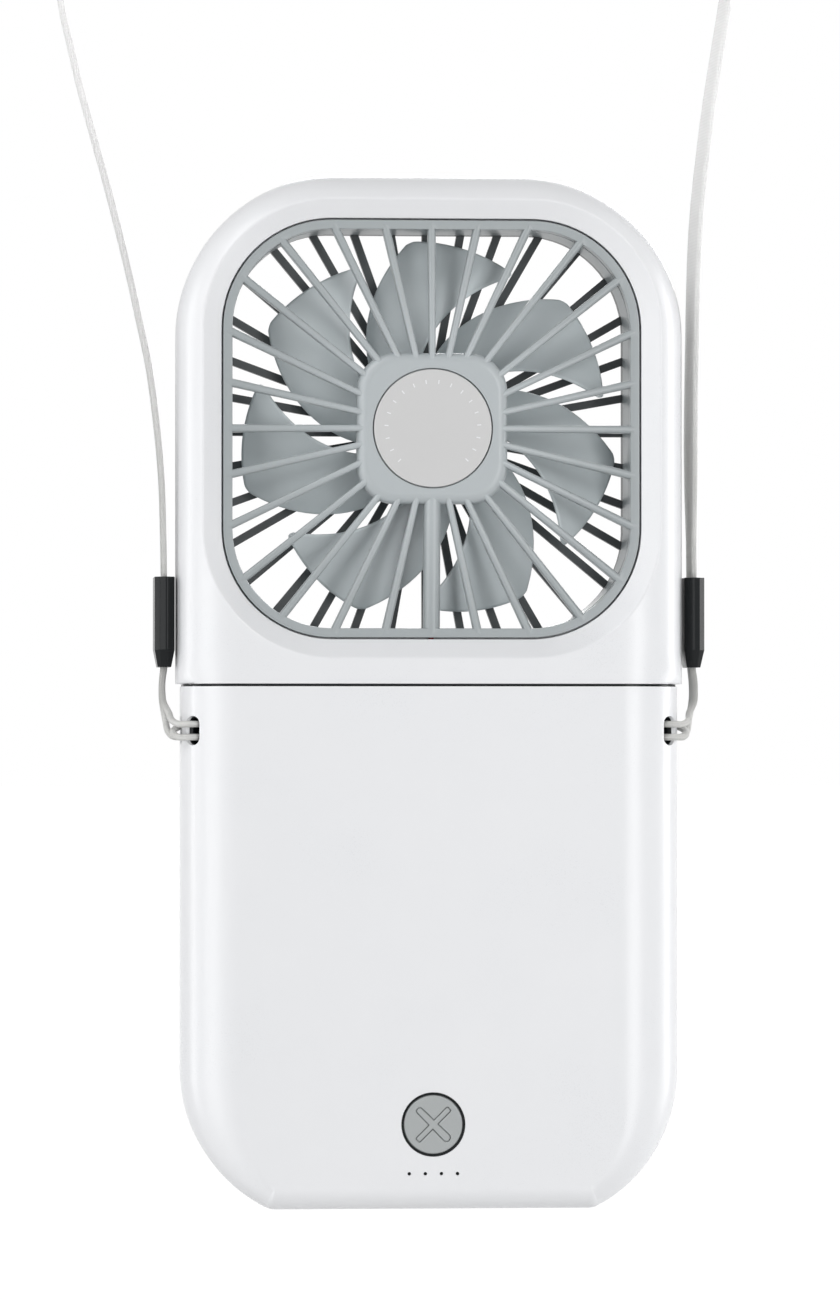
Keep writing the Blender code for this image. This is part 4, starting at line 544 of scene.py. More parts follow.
def makeBaseRear():
    shell, hollow = baseHalf("baseRearShell", 1)
    near = hinge["headHalf"] + hinge["washer"] + 2 * hinge["washerGap"]
    far = near + hinge["baseLength"]
    half = hinge["stockHalf"]
    cut(hollow, block("stock", (-half, hinge["stockFront"], hinge["stockLow"]),
                      (half, halfDepth + 1, hingeZ + 0.9)))
    cut(shell, hollow, usbWindows())
    softSeam(shell, base["height"], 1)
    cut(shell, barrel(-near, near, hinge["knuckleRadius"] + hinge["clearance"]))
    for start, end in ((near, far), (-far, -near)):
        weld(shell, barrel(start, end, hinge["knuckleRadius"]))
    return smooth(cut(shell, pinHole(far), counterbores(screws["base"])))


def makeSeamShadeStrip():
    # a black strip round the base's top edge, put in the gap under the head as painted shade; it keeps light
    # out of that gap
    def edge(setback):
        share, wide = (halfDepth - setback) / halfDepth, base["width"] / 2 - setback
        side = [(wide - edgeInset(depth, case["sideRoundWidth"], case["sideRoundDepth"]), -depth * share)
                for depth in roundLevels(seamShadeStrip["steps"])]
        half = [(side[0][0], seamShadeStrip["back"])] + side
        return half + [(-x, y) for x, y in reversed(half)]

    outline = edge(seamShadeStrip["setback"]) + edge(seamShadeStrip["setback"] + seamShadeStrip["width"])[::-1]
    levels = base["height"] - seamShadeStrip["below"], base["height"] + seamShadeStrip["rise"]
    return smooth(loft("seamShadeStrip", [[(x, y, z) for x, y in outline] for z in levels]))


def makeHeadRear():
    shell, half = headHalf("headRearShell", 1), hinge["headHalf"]
    far = half + hinge["washer"] + 3 * hinge["washerGap"] + hinge["baseLength"]
    weld(shell, block("stock", (-hinge["stockHalf"], hinge["stockFront"], head["bottom"] + 0.01),
                      (hinge["stockHalf"], halfDepth - 0.01, hinge["stockHigh"])))
    for start, end in ((half, far), (-far, -half)):
        cut(shell, barrel(start, end, hinge["knuckleRadius"] + hinge["clearance"]))
    weld(shell, barrel(-half, half, hinge["knuckleRadius"]))
    return smooth(cut(shell, pinHole(half), counterbores(screws["head"])))


def makeScrew():
    # a pan-head screw with a cross recess, upright at the foot's middle
    seat, tip, shaft, wide = screws["seat"], screws["tip"], screws["shaft"], screws["headRadius"]
    top, long, narrow = seat + screws["rise"], screws["crossLength"] / 2, screws["crossWidth"] / 2
    profile = [(tip, 0.2), (tip + 0.7, shaft), (seat, shaft), (seat, wide - 0.1), (seat + 0.1, wide)]
    profile += [(top - screws["domeRise"] * short, wide - screws["domeWidth"] * inward)
                for inward, short in quarterRound(6)]
    made, middle = turned("screw", profile, sides=40), Matrix.Translation(at(0, 0, 0))
    for turn in (45, -45):
        slot = block("slot", (-long, top - screws["crossDepth"], -narrow), (long, top + 1, narrow))
        slot.data.transform(middle @ Matrix.Rotation(math.radians(turn), 4, "Y") @ middle.inverted())
        cut(made, slot)
    return smooth(made)


def makePin():
    reach, radius, chamfer = hinge["pinHalf"], hinge["pinRadius"], 0.25
    half = [(reach - chamfer, radius), (reach, radius - chamfer)]
    profile = [(-x, wide) for x, wide in reversed(half)] + half
    return smooth(turned("hingePin", profile, "X", y=hingeY, z=hingeZ))


def makeWasher(word, side):
    near, bore = side * (hinge["headHalf"] + hinge["washerGap"]), hinge["pinRadius"] + 0.1
    far, rim = near + side * hinge["washer"], hinge["washerRadius"]
    return smooth(turned("hingeWasher" + word, [(near, bore), (near, rim), (far, rim), (far, bore)], "X",
                         y=hingeY, z=hingeZ, closed=True))


def makeSocket(word):
    # a metal shell, its tongue and the contacts on it
    port, metal = usb[word], usb["metal"]
    (width, height, depth), x, corner = port["size"], port["x"], port["corner"]
    middle = usb["boardBack"] + usb["seat"] + height / 2
    low, high = usb["fromFoot"], usb["fromFoot"] + depth
    end = high - usb["floor"]

    def outline(inset, z):
        flat = roundedBox(width / 2 - inset, height / 2 - inset, max(corner - inset, 0.1), x, middle)
        return [(a, b, z) for a, b in flat]

    shell = loft("usb%sShell" % word, [outline(0.08, low), outline(0.0, low + 0.08), outline(0.0, high)])
    cut(shell, loft("well", [outline(metal - 0.15, low - 0.01), outline(metal, low + 0.14),
                             outline(metal, end)]))
    (wide, tall, lift), (count, contact) = port["tongue"], port["contacts"]
    front, level = low + usb["setback"], middle + lift
    tongue = block("usb%sTongue" % word, (x - wide / 2, level - tall / 2, front),
                   (x + wide / 2, level + tall / 2, end + 0.1))
    soften(tongue, lambda a, b, c: c < front + 0.01, min(0.2, tall / 4))
    strips = []
    for k in range(count):
        spot = x + (k - (count - 1) / 2) * wide / (count + 0.4)
        for face in (level - tall / 2, level + tall / 2)[:2 if word == "C" else 1]:
            strips.append(block("contact", (spot - contact / 2, face - 0.04, front + 0.5),
                                (spot + contact / 2, face + 0.04, high - 1.5)))
    return smooth(shell), smooth(tongue), gather("usb%sContacts" % word, strips)


def place(piece, body, slot, *nodes):
    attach(piece, body)
    if nodes:
        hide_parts(*nodes)
    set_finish(piece, slot)
    return piece


place(makeBaseFront(), "base", "case_white", "base_front_shell")
place(makeBaseRear(), "base", "case_white", "base_rear_shell")
place(makeSeamShadeStrip(), "base", "clip_black")
place(smooth(headHalf("headFrontShell", -1)), "head", "case_white", "head_front_shell")
place(makeHeadRear(), "head", "case_white", "head_rear_shell")
screw = makeScrew()
for body in ("base", "head"):
    spots = [(side * x, z) for x, z in screws[body] for side in (-1, 1)]
    for number, (x, z) in enumerate(spots, 1):
        made = copyOf(screw, "%sScrew%d" % (body, number), Matrix.Translation((x * mm, 0, z * mm)))
        place(made, body, "steel", "%s_screw_%d" % (body, number))
bpy.data.objects.remove(screw)
place(makePin(), "base", "steel", "hinge_pin")
for word, side in (("Left", -1), ("Right", 1)):
    place(makeTunnelShadeLining(word, side), "base", "clip_black")
    place(makeWasher(word, side), "base", "steel", "hinge_washer_" + word.lower())
for word in ("A", "C"):
    shell, tongue, contacts = makeSocket(word)
    place(shell, "base", "steel", "usb_%s_socket" % word.lower())
    place(tongue, "base", "socket_black")
    place(contacts, "base", "brass")
print("shells made")


# Grilles and hub cap

grille = {
    "frameWidth": 1.38, "spokes": 28, "spokeWidth": 1.2, "hubSpokeWidth": 0.9, "spokeDepth": 2.0,
    "cableWidth": 2.5, "hubHalf": 11.25, "hubCorner": 5.7, "hubRise": 1.7, "hubPlate": 3.2,
    "hubRoundWidth": 1.5, "hubRoundDepth": 1.3, "hubCornerShare": 0.6, "spokeOnHub": 1.9,
    "spokeBelowHub": 0.07, "rearSpokes": 36, "rearSpokeWidth": 1.17, "rearHubRadius": 9.5,
    "rearHubRise": 1.3, "rearSpokeOnHub": 1.1, "rearHubRound": ((-0.6, 0.0), (-0.18, -0.2), (0.0, -0.8)),
    "frameSoftness": 0.14, "framePoints": 160, "hubPoints": 128, "linerGap": 0.04, "liner": 0.14,
}
ticks = {
    "radius": 6.95, "length": 0.6, "width": 0.17, "rise": 0.02, "count": 18, "first": -134.0, "step": 15.7,
}
cap = {"radius": 8.8, "thickness": 0.9, "gap": 0.2, "seat": 0.2, "rise": 0.08, "side": 0.05, "edge": 0.15}
hubFront = -grilleFace - grille["hubRise"]
hubBack = hubFront + grille["hubPlate"]


def aboutFan(turn):
    # turns clockwise seen from the front, about the fan's axis
    middle = at(0, 0, fanHeight)
    return Matrix.Translation(middle) @ Matrix.Rotation(turn, 4, "Y") @ Matrix.Translation(-middle)


def grilleFrame(name, side):
    half, soft = head["openingHalf"] - head["fitGap"], grille["frameSoftness"]
    corner, inner = head["openingCorner"] - head["fitGap"], half - grille["frameWidth"]
    face, back = side * grilleFace, side * (grilleFace - head["frameDepth"])
    slight, lean = soft * 0.3, side * soft
    turns = evenTurns(grille["framePoints"])
    places = ((half, back), (half, face - lean), (half - slight, face - lean * 0.3), (half - soft, face),
              (inner + soft, face), (inner + slight, face - lean * 0.3), (inner, face - lean), (inner, back))
    rings = [squareRing(turns, edge, corner - (half - edge), y) for edge, y in places]
    return loft(name, rings, closed=True)


def frameReach(turn):
    # from the fan's middle to the middle of a grille's frame
    middle = head["openingHalf"] - head["fitGap"] - grille["frameWidth"] / 2
    return squareReach(turn, middle, head["openingCorner"] - head["fitGap"] - grille["frameWidth"] / 2)


def bar(name, width, widthIn, faceIn, faceOut, backIn, backOut, start, end):
    # one bar along +Z from the fan's middle, with a round front; side ends taper to the hub's width
    lean = 1 if faceIn > backIn else -1
    rings = []
    for distance, wide, face, back in ((start, widthIn, faceIn, backIn), (end, width, faceOut, backOut)):
        half = wide / 2
        ring = [(-half, back, fanHeight + distance), (half, back, fanHeight + distance)]
        for k in range(9):
            turn = math.radians(180 * k / 8)
            ring.append((half * math.cos(turn), face - lean * half * 0.8 * (1 - math.sin(turn)),
                         fanHeight + distance))
        rings.append(ring)
    return loft(name, rings)


def barsRound(first, turns):
    # copies one bar round the fan, each drawn out to where the frame is in its direction
    far, bars = fanHeight + frameReach(0), []
    for turn in turns:
        made = copyOf(first, "bar", Matrix())
        for corner in made.data.vertices:
            if (corner.co.z - foot) / mm > far - 0.5:
                corner.co.z = at(0, 0, fanHeight + frameReach(turn)).z
        made.data.transform(aboutFan(turn))
        bars.append(made)
    bpy.data.objects.remove(first)
    return gather("bars", bars)


def makeFrontGrille():
    half, corner, turns = grille["hubHalf"], grille["hubCorner"], evenTurns(grille["hubPoints"])
    rings = [squareRing(turns, half, corner, hubBack)]
    for inward, short in quarterRound(8):
        draw = grille["hubRoundWidth"] * inward
        rings.append(squareRing(turns, half - draw, corner - draw * grille["hubCornerShare"],
                                hubFront + grille["hubRoundDepth"] * short))
    made = weld(grilleFrame("frontGrille", -1), loft("hub", rings))
    faces = (hubFront + grille["spokeBelowHub"], -grilleFace - 0.02)
    backs = (faces[0] + grille["spokeDepth"], -grilleFace + grille["spokeDepth"])
    ends = half - grille["spokeOnHub"], frameReach(0)
    thin = bar("bar", grille["spokeWidth"], grille["hubSpokeWidth"], *faces, *backs, *ends)
    turns = evenTurns(grille["spokes"])
    bottom = turns.pop(grille["spokes"] // 2)
    bars = barsRound(thin, turns)
    wide = bar("cableBar", grille["cableWidth"], grille["cableWidth"], *faces, *backs, *ends)
    wide.data.transform(aboutFan(bottom))
    weld(made, gather("bars", [bars, wide]))
    pocket = cap["radius"] + cap["gap"]
    cut(made, rod("pocket", pocket, hubFront - 1, hubFront + cap["thickness"], z=fanHeight, sides=128))
    return smooth(made, 35)


def makeRearGrille():
    hubFace, radius = grilleFace + grille["rearHubRise"], grille["rearHubRadius"]
    width, depth = grille["rearSpokeWidth"], grille["spokeDepth"]
    profile = [(hubFace - depth - 0.2, radius)]
    profile += [(hubFace + along, radius + across) for along, across in grille["rearHubRound"]]
    made = weld(grilleFrame("rearGrille", 1), turned("hub", profile, z=fanHeight, sides=96))
    first = bar("bar", width, width, hubFace - 0.25, grilleFace - 0.1, hubFace + 0.05 - depth,
                grilleFace - depth, radius - grille["rearSpokeOnHub"], frameReach(0))
    weld(made, barsRound(first, evenTurns(grille["rearSpokes"])))
    return smooth(made, 35)


def makeDuctLiner():
    # the grey sleeve between both grilles
    outer = head["openingHalf"] - head["ledgeWidth"] - grille["linerGap"]
    inner, corner = outer - grille["liner"], head["openingCorner"] - head["ledgeWidth"]
    reach, turns = grilleFace - head["frameDepth"] - head["fitGap"], evenTurns(grille["framePoints"])
    rings = [squareRing(turns, half, corner, y)
             for half, y in ((outer, -reach), (inner, -reach), (inner, reach), (outer, reach))]
    return smooth(loft("ductLiner", rings, closed=True))


def makeHubCap():
    radius, face = cap["radius"], hubFront - cap["rise"]
    profile = [(hubFront + cap["thickness"] - cap["seat"], radius), (hubFront + cap["side"], radius),
               (hubFront - cap["rise"] * 0.6, radius - 0.06), (face, radius - cap["edge"]),
               (face, radius * 0.5)]
    return smooth(turned("hubCap", profile, z=fanHeight, sides=128))


def makeTicks():
    # a plain ring of short marks on the cap, open at the bottom
    face = hubFront - cap["rise"]
    half, wide = ticks["length"] / 2, ticks["width"] / 2
    first = block("tick", (-wide, face - ticks["rise"], fanHeight + ticks["radius"] - half),
                  (wide, face + 0.1, fanHeight + ticks["radius"] + half))
    turns = [math.radians(ticks["first"] + ticks["step"] * k) for k in range(ticks["count"])]
    marks = [copyOf(first, "tick", aboutFan(turn)) for turn in turns]
    bpy.data.objects.remove(first)
    return gather("capTicks", marks)


place(makeFrontGrille(), "head", "grille_grey", "front_grille")
place(makeRearGrille(), "head", "grille_dark", "rear_grille")
place(makeDuctLiner(), "head", "grille_grey")
place(makeHubCap(), "head", "cap_grey", "hub_cap")
place(makeTicks(), "head", "case_white")
print("grilles made")


# Impeller

blade = {
    "count": 7, "tipRadius": 28.8, "tipFall": 2.3, "fallPower": 1.3, "thickness": 0.9, "front": -3.8,
    "rear": 3.1, "sweep": 2.33, "spanAngle": 40.0, "startAngle": -48.5, "camber": 0.7, "tipEase": 0.05,
    "tipRound": 0.45, "pointEase": 0.07, "pointRound": 0.8, "edgeShare": 0.6, "edgeEase": 0.2,
    "edgeRound": 0.03, "edgeLeast": 0.12, "tipStart": 0.975, "tipLeast": 0.15, "columns": 40, "rows": 18,
}
rotor = {
    "radius": 10.7, "wall": 0.8, "plate": 1.2, "edge": 0.5, "front": -3.9, "rear": 2.3, "bossRadius": 4.0,
    "bossRise": 1.1,
}


def bladePoint(across, out):
    # across runs from the swept rear edge to the pointed front edge, out from the cup to the tip
    root = rotor["radius"] - rotor["wall"] / 2
    tip = blade["tipRadius"] - blade["tipFall"] * across ** blade["fallPower"]
    tip -= blade["tipRound"] * max(0.0, 1 - across / blade["tipEase"]) ** 2
    tip -= blade["pointRound"] * max(0.0, 1 - (1 - across) / blade["pointEase"]) ** 2
    radius = root + (tip - root) * out
    turn = math.radians(blade["startAngle"] + blade["sweep"] * (radius - root) + blade["spanAngle"] * across)
    y = blade["rear"] + (blade["front"] - blade["rear"]) * across
    y += blade["camber"] * math.sin(math.pi * across)
    y += blade["thickness"] * (across - 0.5)
    return radius * math.sin(turn), y, fanHeight + radius * math.cos(turn)


def bladeRing(out, fat):
    # one closed section across the blade, round at both edges and thinner towards them
    step, columns = 0.01, blade["columns"]
    front, back = [], []

    def point(across, out):
        return Vector(bladePoint(across, out))

    for column in range(columns + 1):
        across = 0.5 - 0.5 * math.cos(math.pi * column / columns)
        here = point(across, out)
        along = point(min(across + step, 1), out) - point(max(across - step, 0), out)
        outward = point(across, min(out + step, 1)) - point(across, max(out - step, 0))
        normal = along.cross(outward).normalized()
        edge = min(across, 1 - across)
        thin = blade["edgeShare"] + (1 - blade["edgeShare"]) * ease(edge / blade["edgeEase"])
        roundness = math.sqrt(max(0.0, 1 - (1 - min(1.0, edge / blade["edgeRound"])) ** 2))
        half = blade["thickness"] / 2 * thin * fat * max(blade["edgeLeast"], roundness)
        front.append(here + normal * half)
        back.append(here - normal * half)
    return front + back[::-1]


def makeImpeller():
    steps = [(out / blade["rows"] * blade["tipStart"], 1.0) for out in range(blade["rows"] + 1)]
    for turn in map(math.radians, (30, 60, 80, 90)):
        steps.append((blade["tipStart"] + (1 - blade["tipStart"]) * math.sin(turn),
                      max(blade["tipLeast"], math.cos(turn))))
    first = loft("blade", [bladeRing(out, fat) for out, fat in steps])
    blades = [copyOf(first, "blade", aboutFan(turn)) for turn in evenTurns(blade["count"])]
    bpy.data.objects.remove(first)
    radius, rear, boss, edge = rotor["radius"], rotor["rear"], rotor["bossRadius"], rotor["edge"]
    top = rear + rotor["bossRise"]
    profile = [(rotor["front"], radius), (rear - edge, radius)]
    profile += [(rear - edge * short, radius - edge * inward) for inward, short in quarterRound(3)[1:]]
    profile += [(rear, boss + 0.3), (rear + 0.09, boss + 0.09), (rear + 0.3, boss),
                (top - 0.25, boss - 0.1), (top - 0.06, boss - 0.2), (top, boss - edge)]
    cup = turned("impeller", profile, z=fanHeight, sides=96)
    weld(cup, gather("blades", blades))
    cut(cup, rod("hollow", radius - rotor["wall"], rotor["front"] - 1, rear - rotor["plate"],
                 z=fanHeight, sides=96))
    return smooth(cup, 40)


place(makeImpeller(), "impeller", "blade_grey", "impeller")
print("impeller made")


# Power key and lights

def crossArms(name, grow, start, end):
    # both strokes of the cross; the one down to the right is fatter and round
    half, wide = button["armLength"] / 2, button["armWidth"] / 2
    square = roundedBox(half + grow, wide + grow, button["armCorner"] + grow)
    fat = []
    for side, cheek in ((1, button["footWidth"] / 2), (-1, button["headWidth"] / 2)):
        middle, radius = side * (half - cheek), cheek + grow
        for step in range(13):
            turn = math.radians(-90 * side + 180 * step / 12)
            fat.append((middle + radius * math.cos(turn), radius * math.sin(turn)))
    arms = []
    for outline, turn in ((square, math.radians(-45)), (fat, math.radians(45))):
        level, up = math.cos(turn), math.sin(turn)
        outline = [(x * level + z * up, button["height"] + z * level - x * up) for x, z in outline]
        arms.append(loft(name, [atDepth(outline, start), atDepth(outline, end)]))
    return arms


def makeButton():
    face, flange = -halfDepth + button["setback"], -halfDepth + case["wall"] + button["flangeGap"]
    radius, edge, stem = button["radius"], button["edge"], button["stemRadius"]
    wide, back = radius + button["flange"], flange + button["flangeDepth"]
    profile = [(flange + button["stemReach"], stem), (back, stem), (back, wide), (flange, wide),
               (flange, radius), (face + edge, radius)]
    profile += [(face + edge * short, radius - edge * inward) for inward, short in quarterRound(4)[1:]]
    key = turned("powerButton", profile, z=button["height"], sides=96)
    cut(key, *crossArms("trench", button["trench"], face - 1, face + button["depth"]))
    weld(key, *crossArms("arm", 0.0, face + button["armDrop"], face + button["depth"] + 0.2))
    return smooth(key)


def makeKeyGapShade():
    # a black ring just behind the face, painted shade at the foot of the gap round the key
    inner, outer = button["radius"] + button["shadeRingGap"], button["radius"] + button["gap"] + button["shadeRingGrip"]
    front, back = -halfDepth + button["shadeRingDepth"], -halfDepth + case["wall"] - button["shadeRingBack"]
    profile = [(front, inner), (front, outer), (back, outer), (back, inner)]
    return smooth(turned("keyGapShade", profile, z=button["height"], sides=96, closed=True))


place(makeButton(), "button", "button_grey", "power_button")
place(makeKeyGapShade(), "base", "clip_black")
print("key made")


# Neck strap, its clips and the cord loops

strap = {
    "width": 8.0, "thickness": 0.7, "edge": 0.22, "twist": -4.0, "clipTop": 94.3, "twistAbove": 3,
    "twistRun": 15, "twistSide": 30, "along": 360, "across": 16,
}
clip = {
    "inner": 38.3, "thickness": 3.0, "depth": 9.8, "bottom": 80.8, "top": 94.3, "taperHeight": 2.6,
    "taper": 0.68, "depthTaper": 0.72, "chamfer": 1.05, "steepFacet": (0.8, 0.72), "slopeFacet": 0.85,
    "softness": 0.07, "socket": 3.0, "slotGap": 0.25, "boreGap": 0.2, "cordInside": 2.6,
}
strapRoute = (
    (-39.8, 91.6), (-39.8, 94.9), (-39.9, 100.7), (-40.2, 109.3), (-41.0, 117.9), (-42.1, 125.9),
    (-43.5, 132.6), (-45.1, 139.9), (-47.0, 147.7), (-48.7, 154.2), (-50.6, 161.0), (-52.4, 167.6),
    (-53.9, 174.0), (-55.3, 180.6), (-57.0, 195.0), (-53.5, 213.0), (-40.0, 230.5), (-21.0, 240.0),
    (0.0, 243.0), (20.0, 238.3), (36.5, 226.0), (45.3, 209.0), (47.0, 195.0), (44.9, 180.9),
    (42.7, 167.2), (41.3, 156.3), (40.5, 148.0), (40.1, 139.5), (39.9, 130.5), (39.7, 117.9),
    (39.7, 109.3), (39.75, 100.7), (39.8, 94.9), (39.8, 91.6),
)


def smoothRoute(points, count):
    # evenly spaced points on the smooth curve through a route's own points, and its length
    own = [Vector(point) for point in points]
    padded = [2 * own[0] - own[1]] + own + [2 * own[-1] - own[-2]]
    fine = []
    for before, start, end, after in zip(padded, padded[1:], padded[2:], padded[3:]):
        for k in range(24):
            t = k / 24
            bend, twist = 2 * before - 5 * start + 4 * end - after, 3 * start - before - 3 * end + after
            fine.append(0.5 * (2 * start + (end - before) * t + bend * t * t + twist * t ** 3))
    fine.append(own[-1])
    travelled = [0.0]
    for this, following in zip(fine, fine[1:]):
        travelled.append(travelled[-1] + (following - this).length)
    stops, leg = [], 0
    for k in range(count + 1):
        goal = travelled[-1] * k / count
        while leg < len(fine) - 2 and travelled[leg + 1] < goal:
            leg += 1
        share = (goal - travelled[leg]) / (travelled[leg + 1] - travelled[leg])
        stops.append(fine[leg].lerp(fine[leg + 1], min(1.0, share)))
    return stops, travelled[-1]


def makeStrap():
    # a grid laid along the route, then given its thickness
    route, length = smoothRoute([(x, 0.0, z) for x, z in strapRoute], strap["along"])
    top = max(z for x, z in strapRoute) + strap["thickness"] / 2
    deselect()
    bpy.ops.mesh.primitive_grid_add(x_subdivisions=strap["along"], y_subdivisions=strap["across"], size=2)
    band = newest("neckStrap")
    for corner in band.data.vertices:
        number = round((corner.co.x + 1) / 2 * strap["along"])
        here = route[number]
        ahead = (route[min(number + 1, strap["along"])] - route[max(number - 1, 0)]).normalized()
        above = (here.z - strap["clipTop"] - strap["twistAbove"]) / strap["twistRun"]
        lean = math.radians(strap["twist"]) * ease(above) * ease(here.x / strap["twistSide"])
        lean *= ease((top - here.z) / strap["twistSide"])
        wide, thick = Vector((0, 1, 0)), ahead.cross(Vector((0, 1, 0)))
        spot = here + (wide * math.cos(lean) + thick * math.sin(lean)) * corner.co.y * strap["width"] / 2
        corner.co = at(*spot)
    modify(band, "SOLIDIFY", thickness=strap["thickness"] * mm, offset=0)
    modify(band, "BEVEL", width=strap["edge"] * mm, segments=3, limit_method="ANGLE",
           angle_limit=math.radians(60))
    bpy.ops.object.mode_set(mode="EDIT")
    bpy.ops.mesh.select_all(action="SELECT")
    bpy.ops.mesh.normals_make_consistent(inside=False)
    bpy.ops.object.mode_set(mode="OBJECT")
    path = [at(*point) for point in route]
    place(smooth(band, 50), "base", "strap_grey", "neck_strap")
    length * mm
    return length


# the cord's own points: from the clip down, onto the ring (turn, height, extra radius), off the ring
# again beside the post, and up to the clip
cordPath = {
    "down": ((0.25, -1.25, 79.0), (0.3, -1.5, 77.2), (0.1, -2.1, 75.5)),
    "entry": ((20, 73.9, 0.75), (-15, 72.9, 0.35)), "exit": ((2.35, 3.0, 0.1), (3.15, 4.2, 0.9)),
    "rise": (3.5, 4.9, 72.9), "up": ((0.2, 1.15, 76.0), (0.2, 1.2, 78.6)),
}


def loopRoute(side):
    # down from the clip, in at the front of the post and out at the side, twice, and up again
    ring = (loop["postRadius"] + loop["tunnelRadius"]) / 2
    upper = loop["height"] + loop["pitch"] / 2
    clipX, low = clip["inner"] + clip["thickness"] / 2, clip["bottom"]
    postX, postY, offset, pitch = loop["postX"], loop["postY"], loop["pairOffset"], loop["pitch"]

    def onRing(turn, z, radius=ring):
        turn = math.radians(turn)
        return postX + radius * math.cos(turn), postY + radius * math.sin(turn), z

    inside = low + clip["cordInside"]
    points = [(clipX, -offset, inside), (clipX, -offset, low)]
    points += [(clipX + x, y, z) for x, y, z in cordPath["down"]]
    points += [onRing(turn, z, ring + wide) for turn, z, wide in cordPath["entry"]]
    points += [onRing(turn, upper) for turn in range(-45, -286, -30)]
    points += [onRing(-285 - 30 * step, upper - pitch * step / 4) for step in range(1, 5)]
    points += [onRing(turn, upper - pitch) for turn in range(-435, -646, -30)]
    points += [(postX + x, postY + y, upper - pitch + z) for x, y, z in cordPath["exit"]]
    x, y, z = cordPath["rise"]
    points.append((postX + x, postY + y, z))
    points += [(clipX + x, y, z) for x, y, z in cordPath["up"]]
    points += [(clipX, offset, low), (clipX, offset, inside)]
    return [(side * x, y, z) for x, y, z in points]


def tube(name, route, radius, sides):
    # rings square to the route, and a UV map: round the tube, then along it
    rings, turns = [], evenTurns(sides)
    across = (route[1] - route[0]).orthogonal().normalized()
    for number, here in enumerate(route):
        ahead = (route[min(number + 1, len(route) - 1)] - route[max(number - 1, 0)]).normalized()
        across = (across - ahead * across.dot(ahead)).normalized()
        up = ahead.cross(across)
        rings.append([here + (across * math.cos(turn) + up * math.sin(turn)) * radius for turn in turns])
    made = loft(name, rings)
    spots = made.data.uv_layers.new(name="around")
    tree = KDTree(len(rings) * sides)
    for number, ring in enumerate(rings):
        for k, corner in enumerate(ring):
            tree.insert(at(*corner), number * sides + k)
    tree.balance()
    for face in made.data.polygons:
        found = [divmod(tree.find(made.data.vertices[made.data.loops[spot].vertex_index].co)[1], sides)
                 for spot in face.loop_indices]
        wraps = max(k for number, k in found) - min(k for number, k in found) > sides / 2
        for spot, (number, k) in zip(face.loop_indices, found):
            around = k + sides if wraps and k < sides / 2 else k
            spots.data[spot].uv = around / sides, number / (len(rings) - 1)
    return made


def makeLoop(word, side):
    route, length = smoothRoute(loopRoute(side), 180)
    cord = smooth(tube("strapLoop" + word, route, loop["cordRadius"], 16), 60)
    place(cord, "base", "cord_pale", "strap_loop_" + word.lower())
    at(*route[0])
    length * mm
    [at(*point) for point in route]
    return length


def clipRing(side, z, shareX=1.0, shareY=1.0):
    # one level of a clip: two facets on the outer side, one on the side next to the case
    middle, wide, deep = clip["inner"] + clip["thickness"] / 2, clip["thickness"] / 2, clip["depth"] / 2
    steep, slope, chamfer = clip["steepFacet"], clip["slopeFacet"], clip["chamfer"]
    front = [(wide, deep - chamfer), (wide - steep[0], deep - chamfer + steep[1]),
             (wide - steep[0] - slope, deep), (chamfer - wide, deep), (-wide, deep - chamfer)]
    ring = [(x, -y) for x, y in front] + [(x, y) for x, y in reversed(front)]
    return [(side * (middle + x * shareX), y * shareY, z) for x, y in ring]


def makeClip(word, side):
    middle = side * (clip["inner"] + clip["thickness"] / 2)
    low, high, socket = clip["bottom"], clip["top"], clip["socket"]
    made = loft("strapClip" + word, [clipRing(side, low, clip["taper"], clip["depthTaper"]),
                                     clipRing(side, low + clip["taperHeight"]), clipRing(side, high)])
    slotX, slotY = strap["thickness"] / 2 + clip["slotGap"], strap["width"] / 2 + clip["slotGap"]
    cut(made, block("slot", (middle - slotX, -slotY, high - socket), (middle + slotX, slotY, high + 1)))
    for y in (-loop["pairOffset"], loop["pairOffset"]):
        cut(made, rod("socket", loop["cordRadius"] + clip["boreGap"], low - 1, low + socket, "Z", middle, y,
                      sides=24))
    modify(made, "BEVEL", width=clip["softness"] * mm, segments=2, limit_method="ANGLE",
           angle_limit=math.radians(14))
    place(smooth(made, 12), "base", "clip_black", "strap_clip_" + word.lower())


strapLength = makeStrap()
for word, side in (("Left", -1), ("Right", 1)):
    makeClip(word, side)
    loopLength = makeLoop(word, side)
print("strap made, %.0f mm long" % strapLength)


# Surfaces

class Wire:
    # a node's output, with the sums that are used on it
    def __init__(self, graph, socket):
        self.graph, self.socket = graph, socket

    def out(self, name):
        return Wire(self.graph, self.socket.node.outputs[name])

    def math(self, operation, first, second=0.0):
        return self.graph.node("ShaderNodeMath", {0: first, 1: second}, operation=operation)

    def __add__(self, other): return self.math("ADD", self, other)
    def __radd__(self, other): return self.math("ADD", other, self)
    def __sub__(self, other): return self.math("SUBTRACT", self, other)
    def __rsub__(self, other): return self.math("SUBTRACT", other, self)
    def __mul__(self, other): return self.math("MULTIPLY", self, other)
    def __rmul__(self, other): return self.math("MULTIPLY", other, self)
    def __abs__(self): return self.math("ABSOLUTE", self)

    def wave(self): return self.math("SINE", self)
    def larger(self, other): return self.math("MAXIMUM", self, other)


